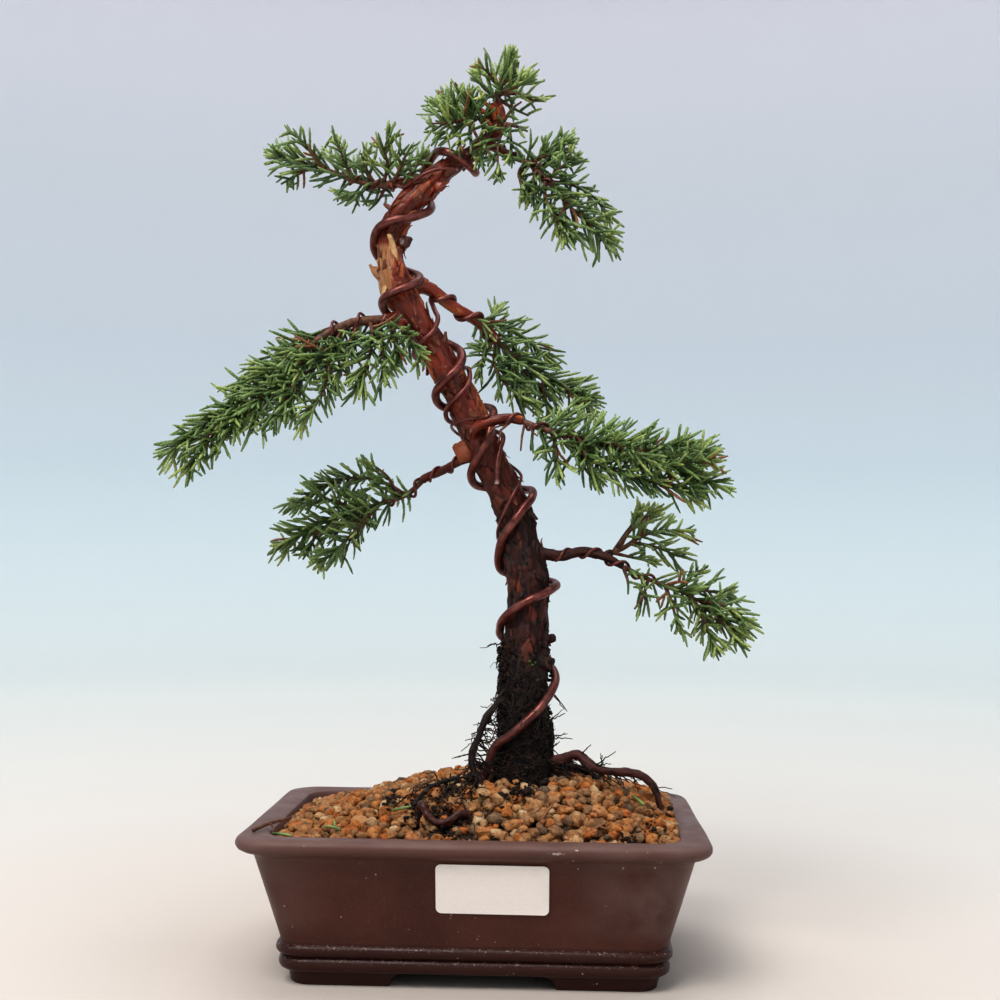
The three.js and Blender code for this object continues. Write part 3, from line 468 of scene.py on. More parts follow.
# Branches. bare is the share without foliage, twigs are leafy stems that fork from it, reach is how far
# foliage stands off a stem, and wire is its radius, the shares where it starts and ends, turns and angle.
BRANCHES = [
    {
        "name": "top_left", "radius": (2.6, 0.9), "bare": 0.2, "reach": 13,
        "wire": (0.75, 0.16, 0.5, 2.4, 200),
        "path": [
            (-33, -2, 374), (-42, 0, 376), (-52, 3, 375), (-68, 6, 379), (-79, 9, 384), (-94, 11, 389),
            (-106, 14, 393),
        ],
        "twigs": [
            (10, [(-52, 3, 375), (-49, -3, 383), (-50, -6, 390), (-48, -8, 397)]),
            (9, [(-60, 5, 376), (-66, 10, 371), (-74, 13, 370)]),
            (10, [(-82, 9, 385), (-90, 4, 395), (-98, 2, 402)]),
            (8, [(-68, 6, 379), (-71, 1, 387), (-74, -1, 394)]),
            (8, [(-51, 2, 375), (-46, 9, 381), (-40, 14, 387), (-35, 14, 392)]),
        ],
    },
    {
        "name": "crown_left", "radius": (1.8, 0.9), "bare": 0.2, "reach": 10, "wire": None,
        "path": [
            (4, 1, 408), (-5, 3, 409), (-14, 5, 413), (-23, 6, 415),
        ],
        "twigs": [
            (8, [(-6, 3, 409), (-9, -3, 415), (-13, -5, 420), (-16, -5, 424)]),
            (9, [(-6, 3, 409), (-11, -6, 405), (-18, -11, 402), (-26, -13, 401)]),
            (8, [(-9, 4, 411), (-11, 11, 412), (-15, 16, 409)]),
            (7, [(-7, -2, 407), (-8, -9, 400), (-8, -13, 394)]),
        ],
    },
    {
        "name": "apex", "radius": (2, 0.9), "bare": 0, "reach": 9, "wire": None,
        "path": [
            (4, 1, 416.3), (5.5, 0, 422), (8, -2, 429), (10, -4, 435),
        ],
        "twigs": [
            (9, [(5, 0, 420), (14, 3, 421), (22, 6, 419), (28, 8, 419)]),
            (7, [(6, 0, 423), (1, -5, 428), (-2, -8, 430)]),
            (8, [(5, 0, 421), (9, 9, 425), (8, 15, 428)]),
        ],
    },
    {
        "name": "crown_low", "radius": (1.5, 0.9), "bare": 0.3, "reach": 8, "wire": None,
        "path": [
            (3, 1, 402), (9, -5, 403), (15, -8, 401), (20, -10, 398),
        ],
        "twigs": [
            (7, [(9, -6, 403), (6, -13, 391), (6, -17, 378)]),
        ],
    },
    {
        "name": "top_right", "radius": (2.2, 0.9), "bare": 0.24, "reach": 14,
        "wire": (0.75, 0.12, 0.52, 2.8, 100),
        "path": [
            (-1, 1, 397), (6, -3, 391), (14, -7, 386), (21, -10, 382), (30, -14, 373), (38, -17, 362),
            (47, -21, 352), (56, -24, 342),
        ],
        "twigs": [
            (9, [(21, -10, 382), (29, -9, 388), (38, -10, 392)]),
            (10, [(29, -14, 374), (29, -20, 363), (34, -25, 352), (40, -28, 345)]),
            (10, [(31, -14, 372), (42, -9, 372), (52, -6, 367), (58, -5, 360)]),
            (7, [(25, -12, 379), (23, -16, 371), (25, -18, 361)]),
        ],
    },
    {
        "name": "left_upper", "radius": (3, 1), "bare": 0.1, "reach": 14,
        "wire": (0.75, 0.1, 0.42, 3.2, 150),
        "path": [
            (-37, -3, 308), (-49, -9, 305.5), (-60, -12, 304.5), (-71, -17, 300), (-86, -22, 288),
            (-111, -28, 267), (-129, -33, 252), (-142, -37, 240),
        ],
        "twigs": [
            (14, [(-66, -14, 303), (-71, -21, 293), (-83, -27, 280), (-98, -31, 267), (-115, -34, 256)]),
            (12, [(-56, -10, 306), (-53, -19, 296), (-54, -24, 284), (-57, -28, 274)]),
            (8, [(-51, -8, 307), (-45, -16, 303), (-42, -24, 294), (-41, -27, 284)]),
            (12, [(-62, -13, 304), (-75, -7, 302), (-91, -5, 295), (-108, -10, 281)]),
            (11, [(-70, -17, 300), (-76, -9, 290), (-87, -8, 279), (-99, -12, 268)]),
            (10, [(-73, -22, 290), (-72, -30, 277), (-75, -34, 265), (-80, -36, 257)]),
            (8, [(-88, -29, 276), (-92, -34, 263), (-96, -36, 255)]),
            (8, [(-108, -33, 260), (-116, -36, 251), (-121, -37, 243)]),
        ],
    },
    {
        "name": "back_right", "radius": (2.7, 1), "bare": 0.34, "reach": 16,
        "wire": (1.2, 0.16, 0.5, 2.3, 250),
        "path": [
            (-41, -1, 323), (-29, 5, 324), (-17, 10, 316), (-3, 15, 308), (8, 19, 297), (22, 24, 287),
            (37, 29, 279), (50, 33, 274),
        ],
        "twigs": [
            (12, [(-2, 15, 307), (5, 22, 309), (16, 27, 304), (28, 31, 296)]),
            (12, [(5, 18, 300), (4, 13, 288), (9, 11, 278), (18, 13, 270)]),
            (11, [(10, 19, 296), (17, 30, 288), (26, 38, 278)]),
            (7, [(0, 17, 308), (2, 21, 313), (4, 23, 318)]),
        ],
    },
    {
        "name": "right_main", "radius": (2.5, 1), "bare": 0.3, "reach": 15,
        "wire": (0.75, 0.17, 0.5, 3.3, 60),
        "path": [
            (-4, 1, 251), (-4, -10, 252), (-1, -17, 254), (6, -18.5, 256), (13, -18, 257), (21, -18, 255),
            (31, -21, 251), (51, -24, 246), (74, -27, 238), (94, -30, 231), (107, -33, 226),
        ],
        "twigs": [
            (13, [(37, -22, 250), (45, -25, 241), (59, -27, 233), (78, -29, 227), (97, -32, 222)]),
            (13, [(39, -22, 249), (55, -12, 248), (75, -11, 245), (93, -14, 242), (104, -16, 242)]),
            (10, [(34, -21, 250), (35, -28, 243), (36, -32, 233)]),
            (10, [(54, -24, 246), (64, -34, 243), (77, -39, 236)]),
        ],
    },
    {
        "name": "left_lower", "radius": (2.2, 0.9), "bare": 0.32, "reach": 14,
        "wire": (0.75, 0.11, 0.5, 3.8, 20),
        "path": [
            (2, 3, 240), (-10, 6, 239), (-22, 9, 233), (-30, 12, 230), (-37, 14, 223), (-50, 16, 218),
            (-69, 19, 213), (-88, 22, 205), (-101, 24, 197),
        ],
        "twigs": [
            (12, [(-40, 14, 222), (-51, 20, 228), (-66, 24, 231), (-82, 26, 227), (-96, 27, 218)]),
            (12, [(-53, 16, 217), (-61, 10, 207), (-70, 8, 197), (-79, 10, 189)]),
            (11, [(-56, 17, 216), (-66, 28, 212), (-79, 34, 204)]),
        ],
    },
    {
        "name": "right_lower_upright", "radius": (1.6, 0.8), "bare": 0.14, "reach": 9, "wire": None,
        "path": [
            (57, -2, 192.2), (68, 3, 196), (77, 6, 202), (87, 10, 205), (98, 13, 205),
        ],
        "twigs": [
            (6, [(66, 2, 195), (70, -3, 203), (76, -6, 209), (81, -8, 213)]),
            (6, [(76, 6, 201), (80, 12, 208), (84, 17, 212)]),
            (8, [(72, 5, 199), (84, 10, 197), (95, 14, 193)]),
        ],
    },
    {
        "name": "right_lower", "radius": (2.4, 0.9), "bare": 0.46, "reach": 11,
        "wire": (0.75, 0.13, 0.62, 3.6, 300),
        "path": [
            (23, 3, 195), (37, 0, 192), (48, -1, 194), (58, -2, 192), (74, -4, 184), (83, -6, 180),
            (94, -7, 176), (106, -8, 170), (117, -10, 162),
        ],
        "twigs": [
            (10, [(98, -7, 174), (107, -2, 176), (117, 2, 174)]),
            (10, [(100, -8, 173), (105, -14, 163), (109, -17, 153)]),
            (9, [(104, -8, 171), (113, -14, 170), (122, -16, 164)]),
            (9, [(109, -9, 168), (115, -14, 160), (120, -17, 154)]),
            (7, [(80, -5, 181), (77, -10, 173), (73, -12, 167)]),
        ],
    },
]
BARK_GRAIN = 0.7
OLD_BARK_TOP = 275
OLD_BARK_FOOT = 175


def through(points, shares):
    """Points of a smooth curve through a list of points, at shares of the way from 0 to 1."""
    points = np.asarray(points, float)
    padded = np.vstack([2 * points[0] - points[1], points, 2 * points[-1] - points[-2]])
    way = np.clip(shares, 0, 1) * (len(points) - 1)
    first = np.minimum(way.astype(int), len(points) - 2)
    t = (way - first)[:, None]
    a, b, c, d = (padded[first + step] for step in range(4))
    return 0.5 * (2 * b + (c - a) * t + (2 * a - 5 * b + 4 * c - d) * t**2 + (3 * b - a - 3 * c + d) * t**3)


def run_along(points):
    """How far along a list of points each of them is."""
    steps = np.linalg.norm(np.diff(points[:, :3], axis=0), axis=1)
    return np.concatenate([[0], np.cumsum(steps)])


def evenly(points, shares):
    """The same as through, but at shares of the curve's length."""
    fine = np.linspace(0, 1, 30 * len(points))
    run = run_along(through(points, fine))
    return through(points, np.interp(np.asarray(shares, float) * run[-1], run, fine))


def tapered(points, radius, steps):
    """A route with the radius as a fourth number, from one radius at its start to another at its end."""
    shares = np.linspace(0, 1, steps)
    route = evenly(points, shares)
    return np.column_stack([route, radius[0] + (radius[1] - radius[0]) * shares])


def wood_radius(branch, share):
    """The radius of a branch's wood at a share of its length. The back right one is the stoutest."""
    radius = branch["radius"][0] + (branch["radius"][1] - branch["radius"][0]) * share
    return radius * {"back_right": 1.25, "left_upper": 1.1}.get(branch["name"], 1)


def branch_wood(branch, start, end, steps):
    """The route and radius of a branch's own stem between two shares of its length."""
    shares = np.linspace(start, end, steps)
    radius = wood_radius(branch, shares)
    return np.column_stack([evenly(branch["path"], shares), radius])


def tubes(name, routes, roundness):
    """A mesh of closed round tubes along routes of x, y, z and radius in millimetres."""
    curve = bpy.data.curves.new(name, "CURVE")
    curve.dimensions = "3D"
    curve.bevel_depth, curve.bevel_resolution, curve.use_fill_caps = 1, roundness, True
    for route in routes:
        spline = curve.splines.new("POLY")
        spline.points.add(len(route) - 1)
        homes = [(*place(*dot[:3]), 1) for dot in route]
        spline.points.foreach_set("co", np.array(homes).ravel())
        spline.points.foreach_set("radius", np.array([dot[3] * MM for dot in route]))
    drawn = bpy.data.objects.new(name, curve)
    bpy.context.scene.collection.objects.link(drawn)
    mesh = bpy.data.meshes.new_from_object(drawn.evaluated_get(bpy.context.evaluated_depsgraph_get()))
    bpy.data.objects.remove(drawn)
    bpy.data.curves.remove(curve)
    mesh.shade_smooth()
    return mesh


LIMB_SHIFT = 97
POINTS_AT_ONCE = 20000


def limb_coordinates(points, routes):
    """For each point, in millimetres: its place on its limb if that were straight, the limb's number,
    the height of the limb there and the way outwards. Limbs are shifted apart, so none shares a pattern."""
    nearest = np.full(len(points), np.inf)
    grain = np.zeros((len(points), 3))
    outward = np.zeros((len(points), 3))
    limb, height = np.zeros(len(points), int), np.zeros(len(points))
    for number, route in enumerate(routes):
        run = run_along(route)
        tangents = np.gradient(route[:, :3], axis=0)
        tangents /= np.linalg.norm(tangents, axis=1)[:, None]
        for start in range(0, len(points), POINTS_AT_ONCE):
            part = slice(start, start + POINTS_AT_ONCE)
            gaps = np.linalg.norm(points[part, None] - route[None, :, :3], axis=2)
            best = np.argmin(gaps / route[None, :, 3], axis=1)
            share = gaps[np.arange(len(best)), best] / route[best, 3]
            closer = share < nearest[part]
            rows = np.arange(start, start + len(best))[closer]
            best = best[closer]
            nearest[rows] = share[closer]
            out = points[rows] - route[best, :3]
            ahead = (out * tangents[best]).sum(1)
            out -= tangents[best] * ahead[:, None]
            outward[rows] = out / np.maximum(np.linalg.norm(out, axis=1), 1e-6)[:, None]
            right = np.cross(tangents[best], (0.2, 0.9, 0.1))
            right /= np.linalg.norm(right, axis=1)[:, None]
            back = np.cross(tangents[best], right)
            around = (outward[rows] * right).sum(1), (outward[rows] * back).sum(1)
            radius = route[best, 3]
            grain[rows] = np.column_stack(
                [around[0] * radius, around[1] * radius, run[best] + ahead + number * LIMB_SHIFT]
            )
            limb[rows], height[rows] = number, route[best, 2]
    return grain, limb, height, outward


trunk_routes = [through(TRUNK, np.linspace(0, 1, 240))]
trunk_routes += [tapered(points, (first + 0.3, last + 0.3), 30) for (first, last), points in ROOTS + STUBS]
for branch in BRANCHES:
    if branch["bare"] > 0:
        end = 0.52 if branch["name"] == "back_right" else branch["bare"]
        trunk_routes.append(branch_wood(branch, 0, end, 24) + [0, 0, 0, 0.5])
knots = [
    (2.6, 2.2, [(-2, -5, 257), (-3, -11, 256)]),
    (2.6, 3.2, [(-41, -4, 343), (-38.5, -10, 344)]), (2.4, 3.0, [(-31, -5, 298), (-30, -9.5, 297)]),
    (2.2, 2.8, [(27, -3, 183), (29, -8, 182.5)]), (2.8, 3.4, [(29, -5, 141), (34, -7, 140)]),
    (2.2, 2.6, [(-24, -4, 372), (-22, -9, 371)]), (2.6, 3.0, [(-44, -6, 318), (-47.5, -9, 318.5)]),
]
knot_routes = [tapered(points, (first, last), 8) for first, last, points in knots]
skin = bpy.data.objects.new("bark_skin", tubes("bark_skin", trunk_routes + knot_routes, 10))
bpy.context.scene.collection.objects.link(skin)
remesh = skin.modifiers.new("one_skin", "REMESH")
remesh.mode, remesh.voxel_size = "VOXEL", BARK_GRAIN * MM
ease = skin.modifiers.new("ease_joins", "SMOOTH")
ease.factor, ease.iterations = 0.5, 3
apply_modifiers(skin)
trunk_mesh = skin.data
bpy.data.objects.remove(skin)


def in_millimetres(mesh):
    """The corners of a mesh in millimetres from the middle of the pot's foot."""
    points = np.empty(len(mesh.vertices) * 3)
    mesh.vertices.foreach_get("co", points)
    return (points.reshape(-1, 3) - np.array(place(0, 0, 0))) / MM


def step_up(values, low, high):
    """A smooth step from 0 to 1 between two numbers."""
    share = np.clip((values - low) / (high - low), 0, 1)
    return share * share * (3 - 2 * share)


def each(kind, points, shift=0.0):
    """A noise of mathutils at each point."""
    return np.array([kind(Vector(point) + Vector((shift, 0, 0))) for point in points])


bark_points = in_millimetres(trunk_mesh)
grain, limb, height, outward = limb_coordinates(bark_points, trunk_routes)
is_trunk = limb == 0
age = 1 - step_up(bark_points[:, 2] + 16 * each(noise.noise, grain * 0.045), OLD_BARK_FOOT, OLD_BARK_TOP)
dead_wood = np.exp(-((bark_points[:, 2] - 329) / 15) ** 4) * step_up(-44 - bark_points[:, 0], 0, 2.5)
dead_wood = dead_wood * (bark_points[:, 1] < 4) * is_trunk
dark_knob = 1 - step_up(np.linalg.norm(bark_points - (-38, -9, 344), axis=1), 3.2, 5)
dead_wood = np.maximum(dead_wood, np.isin(limb, (7, 11)) * 1.0)
swirl = each(noise.noise, grain * (0.11, 0.11, 0.03), 9.0)[:, None] * (2.2, 2.2, 0)
cells = [noise.voronoi(Vector(point)) for point in (grain + swirl) * (0.24, 0.24, 0.075)]
crack = 1 - step_up(np.array([cell[0][1] - cell[0][0] for cell in cells]), 0.0, 0.17)
plate = np.array([noise.cell(cell[1][0] * 57.3) for cell in cells])
strips = [noise.voronoi(Vector(point)) for point in (grain + 2 * swirl) * (0.3, 0.3, 0.04)]
split = 1 - step_up(np.array([cell[0][1] - cell[0][0] for cell in strips]), 0.0, 0.3)
strip = np.array([noise.cell(cell[1][0] * 31.7) for cell in strips])
lumps = each(noise.noise, grain * 0.09, 4.0)
fibres = each(noise.noise, grain * (1.3, 1.3, 0.09), 2.0)
knobs = each(noise.noise, grain * 0.32, 7.0)
size = np.where(is_trunk, 1.0, 0.4)
smooth_bark = (
    0.75 * lumps + 0.35 * (strip - 0.5) - 0.24 * split
    + 0.08 * fibres + 0.6 * (plate - 0.5) - 0.3 * crack
)
rough_bark = (
    0.3 + 0.8 * lumps + 0.95 * (plate - 0.5) - 0.85 * crack
    + 0.3 * (strip - 0.5) - 0.2 * split + 0.55 * knobs
)
wood = -0.5 + 0.4 * (strip - 0.5) - 0.5 * split + 0.2 * fibres
relief = smooth_bark * (1 - age) + rough_bark * age
relief = relief * (1 - dead_wood) + wood * dead_wood
moved = bark_points + outward * (relief * size)[:, None]
TRUNK_CUT_Z = 417.3
top_cut = moved[:, 2] > TRUNK_CUT_Z
moved[top_cut, 2] = TRUNK_CUT_Z + 0.4 * knobs[top_cut]
trunk_mesh.vertices.foreach_set("co", (moved * MM + np.array(place(0, 0, 0))).ravel())


def mark(mesh, **values):
    """Stores a number for each corner of a mesh for its material to read."""
    for name, numbers in values.items():
        kind, field = ("FLOAT_VECTOR", "vector") if np.ndim(numbers) == 2 else ("FLOAT", "value")
        stored = mesh.attributes.new(name, kind, "POINT")
        stored.data.foreach_set(field, np.ascontiguousarray(numbers, np.float32).ravel())


peeled = step_up(each(noise.noise, grain * (0.16, 0.16, 0.05), 21.0) + 0.5 * (plate - 0.5), 0.22, 0.42)
mark(
    trunk_mesh, grain=grain * MM, age=age, dead=dead_wood, peeled=peeled * (1 - 0.8 * age),
    crack=crack * (0.35 + 0.65 * age), plate=0.5 * plate + 0.5 * strip, split=split,
    wet=np.maximum(
        (1 - step_up(bark_points[:, 2] + 9 * lumps, 132, 158)) * np.where(limb == 2, 0.12, 1),
        dark_knob,
    ),
    red_root=(limb == 2) * step_up(bark_points[:, 0], 30, 40),
)
trunk_mesh.shade_smooth()


def reading(tree, name, output="Fac"):
    """A number or a vector that a mesh stores for each corner."""
    return node(tree, "ShaderNodeAttribute", attribute_name=name).outputs[output]


def stretched(tree, name, scale):
    """A stored place, stretched by a scale on each axis."""
    return node(
        tree, "ShaderNodeMapping", {"Vector": reading(tree, name, "Vector"), "Scale": scale},
    ).outputs["Vector"]


bark, tree, shader = new_material("juniper_bark")
fibre = cloudy(tree, stretched(tree, "grain", (1, 1, 0.09)), 1500, 4, 0.6)
patch = cloudy(tree, stretched(tree, "grain", (1, 1, 0.3)), 110, 4, 0.6, 0.6)
young = blend_colours(tree, ramp(tree, patch, 0.3, 0.7), (0.05, 0.0064, 0.0026), (0.23, 0.036, 0.016))
young = blend_colours(tree, ramp(tree, reading(tree, "plate"), 0.4, 0.85), young, (0.21, 0.04, 0.018))
young = blend_colours(tree, reading(tree, "peeled"), young, (0.34, 0.085, 0.022))
# Light streaks along the fibres of the young bark: painted highlight
young = blend_colours(tree, ramp(tree, fibre, 0.55, 0.8, 0, 0.35), young, (0.34, 0.12, 0.07))
young = blend_colours(tree, ramp(tree, fibre, 0.46, 0.25, 0, 0.55), young, (0.035, 0.008, 0.005))
old = blend_colours(tree, ramp(tree, patch, 0.3, 0.7), (0.008, 0.002, 0.0015), (0.04, 0.006, 0.0033))
old = blend_colours(
    tree, ramp(tree, reading(tree, "plate"), 0.55, 0.85, 0, 0.8), old, (0.075, 0.023, 0.015),
)
red = ramp(tree, cloudy(tree, stretched(tree, "grain", (1, 1, 0.4)), 105, 3), 0.56, 0.63, 0, 0.85)
old = blend_colours(tree, red, old, (0.16, 0.031, 0.014))
# Light streaks along the fibres of the old bark: painted highlight
old = blend_colours(tree, ramp(tree, fibre, 0.55, 0.8, 0, 0.4), old, (0.1, 0.042, 0.028))
colour = blend_colours(tree, ramp(tree, reading(tree, "age"), 0.1, 0.9), young, old)
colour = blend_colours(
    tree, ramp(tree, reading(tree, "split"), 0.3, 1, 0, 0.35), colour, (0.03, 0.01, 0.006),
)
colour = blend_colours(
    tree, ramp(tree, reading(tree, "crack"), 0.15, 0.9, 0, 0.85), colour, (0.01, 0.006, 0.005),
)
colour = blend_colours(
    tree, ramp(tree, reading(tree, "wet"), 0.1, 0.9, 0, 0.75), colour, (0.009, 0.006, 0.005),
)
root_skin = blend_colours(tree, ramp(tree, fibre, 0.3, 0.7), (0.018, 0.006, 0.005), (0.08, 0.022, 0.017))
# Pale patches on the root's skin: painted highlight
root_skin = blend_colours(tree, ramp(tree, patch, 0.62, 0.72, 0, 0.6), root_skin, (0.2, 0.1, 0.08))
root_skin = blend_colours(tree, ramp(tree, patch, 0.42, 0.3, 0, 0.9), root_skin, (0.01, 0.007, 0.006))
colour = blend_colours(tree, reading(tree, "red_root"), colour, root_skin)
bleached = blend_colours(tree, ramp(tree, fibre, 0.3, 0.7), (0.12, 0.045, 0.018), (0.44, 0.25, 0.125))
bleached = blend_colours(tree, ramp(tree, patch, 0.4, 0.66, 0, 0.75), bleached, (0.27, 0.105, 0.04))
bleached = blend_colours(tree, ramp(tree, fibre, 0.42, 0.3, 0, 0.7), bleached, (0.05, 0.018, 0.01))
colour = blend_colours(tree, ramp(tree, reading(tree, "dead"), 0.3, 0.7), colour, bleached)
tree.links.new(colour, shader.inputs["Base Color"])
gloss = ramp(tree, reading(tree, "age"), 0.1, 0.8, 0.3, 0.62)
tree.links.new(times(tree, gloss, ramp(tree, fibre, 0.3, 0.7, 0.85, 1.15)), shader.inputs["Roughness"])
tree.links.new(rounded_up(tree, fibre, 0.6, 0.0003), shader.inputs["Normal"])
shader.inputs["Specular IOR Level"].default_value = 0.26
finished("trunk_bark", trunk_mesh, bark, "bark", "trunk")

# The low root: a bent surface root in front of the trunk, bare and dark red.
# It grows out of the soil and back into it, so only its bend shows.
ROOT_LOOP = [
    ((1.7, 1.4), [
        (-25, -38, 68), (-25, -42, 78), (-23.4, -45.6, 78.6), (-20.6, -48, 74.4), (-16.5, -49.2, 71.8),
        (-11.5, -48.6, 72.6), (-7, -46.6, 75.4), (-3.4, -44, 74.4), (-1.5, -41, 66),
    ]),
]
loop_routes = [tapered(points, (first + 0.25, last + 0.1), 40) for (first, last), points in ROOT_LOOP]
loop = bpy.data.objects.new("loop_skin", tubes("loop_skin", loop_routes, 8))
bpy.context.scene.collection.objects.link(loop)
remesh = loop.modifiers.new("one_skin", "REMESH")
remesh.mode, remesh.voxel_size = "VOXEL", 0.35 * MM
apply_modifiers(loop)
loop_mesh = loop.data
bpy.data.objects.remove(loop)
loop_points = in_millimetres(loop_mesh)
loop_grain, _, _, loop_outward = limb_coordinates(loop_points, loop_routes)
rings = (
    each(noise.noise, loop_grain * (0.25, 0.25, 0.8)) * 0.28
    + each(noise.noise, loop_grain * 0.3, 5.0) * 0.35
)
loop_points += loop_outward * rings[:, None]
loop_mesh.vertices.foreach_set("co", (loop_points * MM + np.array(place(0, 0, 0))).ravel())
flat = np.zeros(len(loop_points))
mark(
    loop_mesh, grain=loop_grain * MM, age=flat + 0.35, dead=flat, peeled=flat, crack=flat, plate=flat + 0.3,
    split=flat, wet=np.clip(0.74 - rings, 0.4, 0.9), red_root=flat + 0.7,
)
loop_mesh.shade_smooth()
finished("low_root", loop_mesh, bark, "bark", "root_loop")

# The gravel: baked clay and lava grains of 3 to 8 mm, poured over the soil and heaped up to the trunk.
# Each grain is a lump with worn flats. A few are cream or black, and soil darkens those near the roots.
GRAVEL_EDGE = 62.5
GRAVEL_RISE = 24
GRAVEL_TOP_X = 12
GRAVEL_TOP_Y = 5
GRAVEL_SPREAD_X = 106
GRAVEL_SPREAD_Y = 62
GRAIN_SHAPES = 9


def mound_height(x, y):
    """Height of the gravel over a place, all in millimetres."""
    fall_x = min(1, (abs(x - GRAVEL_TOP_X) / GRAVEL_SPREAD_X) ** 2.4)
    fall_y = min(1, (abs(y - GRAVEL_TOP_Y) / GRAVEL_SPREAD_Y) ** 2.2)
    return GRAVEL_EDGE + GRAVEL_RISE * (1 - fall_x) * (1 - fall_y)


def grain_shape(draw):
    """A lump of about 1 across: a ball with some worn flats and a rough skin."""
    lump = bmesh.new()
    bmesh.ops.create_icosphere(lump, subdivisions=2, radius=0.5)
    flats = [
        (Vector([draw.gauss(0, 1) for _ in range(3)]).normalized(), draw.uniform(0.33, 0.46))
        for _ in range(8)
    ]
    seed = Vector([draw.uniform(0, 50) for _ in range(3)])
    for vert in lump.verts:
        for facing, reach in flats:
            over = vert.co.dot(facing) - reach
            if over > 0:
                vert.co -= facing * over
        vert.co *= 1 + 0.36 * noise.noise(vert.co * 3.5 + seed)
    bmesh.ops.scale(lump, vec=(1.1, draw.uniform(0.82, 1.0), draw.uniform(0.7, 0.92)), verts=lump.verts)
    mesh = bpy.data.meshes.new("grain")
    lump.to_mesh(mesh)
    lump.free()
    return mesh


def arrays_of(mesh):
    """The corners, face corners and face starts of a small mesh, as arrays."""
    points = np.empty(len(mesh.vertices) * 3)
    mesh.vertices.foreach_get("co", points)
    corners = np.empty(len(mesh.loops), np.int64)
    mesh.loops.foreach_get("vertex_index", corners)
    starts = np.empty(len(mesh.polygons), np.int64)
    mesh.polygons.foreach_get("loop_start", starts)
    return points.reshape(-1, 3), corners, starts


def copies(name, shapes, picks, places, bend=None, **marks):
    """One mesh with a copy of a small shape at each place, a 4 by 4 matrix. Marks are numbers
    for each copy that its finish reads, and along is how far up its shape each corner is."""
    points, corners, starts, along, counts = [], [], [], [], []
    first_point = first_corner = 0
    for number, (pick, matrix) in enumerate(zip(picks, places)):
        shape_points, shape_corners, shape_starts = shapes[pick]
        moved = shape_points @ matrix[:3, :3].T + matrix[:3, 3]
        if bend is not None:
            moved = moved + bend[number] * (shape_points[:, 2:3] ** 2)
        points.append(moved)
        corners.append(shape_corners + first_point)
        starts.append(shape_starts + first_corner)
        along.append(shape_points[:, 2])
        counts.append(len(shape_points))
        first_point += len(shape_points)
        first_corner += len(shape_corners)
    mesh = bpy.data.meshes.new(name)
    mesh.vertices.add(first_point)
    mesh.vertices.foreach_set("co", np.concatenate(points).ravel())
    mesh.loops.add(first_corner)
    mesh.loops.foreach_set("vertex_index", np.concatenate(corners))
    mesh.polygons.add(sum(len(part) for part in starts))
    mesh.polygons.foreach_set("loop_start", np.concatenate(starts))
    for mark, values in {**marks, "along": None}.items():
        numbers = np.concatenate(along) if values is None else np.repeat(values, counts)
        mesh.attributes.new(mark, "FLOAT", "POINT").data.foreach_set("value", numbers.astype(np.float32))
    mesh.update(calc_edges=True)
    mesh.shade_smooth()
    return mesh


def turned(draw, size, middle):
    """A matrix that turns a shape at random, scales it and puts it at a place in metres."""
    spin = Matrix.Rotation(draw.uniform(0, math.tau), 4, "Z") @ Matrix.Rotation(draw.gauss(0, 0.5), 4, "X")
    return np.array(Matrix.Translation(middle) @ spin @ Matrix.Scale(size * MM, 4))


trunk_tree = kdtree.KDTree(len(trunk_mesh.vertices))
for number, vert in enumerate(trunk_mesh.vertices):
    trunk_tree.insert(vert.co, number)
trunk_tree.balance()
draw = random.Random(31)
grain_shapes = [arrays_of(grain_shape(draw)) for _ in range(GRAIN_SHAPES)]
grain_places, grain_tones = [], []
inner_x, inner_y = POT_HALF_X - 14.6, POT_HALF_Y - 14.8


def tone_near(x, y):
    """The tone of a grain: mostly orange and tan, darker near the roots, now and then cream."""
    soiled = (
        math.exp(-((x + 14) ** 2 + (y + 38) ** 2) / 260)
        + 0.6 * math.exp(-((x - 12) ** 2 + (y + 12) ** 2) / 300)
    )
    if draw.random() < 0.006 + 0.16 * soiled:
        return draw.uniform(0.93, 1.0)
    if draw.random() < 0.05 + 0.25 * math.exp(-((x - 2) ** 2 + (y + 22) ** 2) / 300):
        return draw.uniform(0.0, 0.1)
    return min(0.9, max(0.1, draw.betavariate(1.5, 1.9)))


def pour(spacing, size_low, size_high, sunk):
    """Puts grains on a jittered grid over the mound, each sunk into it by a share of its size."""
    for row in range(int(2 * inner_y / spacing) + 1):
        for column in range(int(2 * inner_x / spacing) + 1):
            x = -inner_x + (column + 0.5 * (row % 2)) * spacing + draw.uniform(-0.45, 0.45) * spacing
            y = -inner_y + row * spacing + draw.uniform(-0.45, 0.45) * spacing
            size = draw.uniform(size_low, size_high)
            limit_x, limit_y = inner_x + 1.5 - size * 0.45, inner_y + 1.5 - size * 0.45
            x, y = max(-limit_x, min(limit_x, x)), max(-limit_y, min(limit_y, y))
            height = mound_height(x, y) - size * sunk + draw.uniform(-0.5, 0.5)
            height -= settled(x, y)
            if trunk_tree.find(place(x, y, height))[2] < size * 0.38 * MM or math.hypot(x - 21.5, y) < 11:
                continue
            grain_places.append(turned(draw, size, place(x, y, height)))
            grain_tones.append(tone_near(x, y))


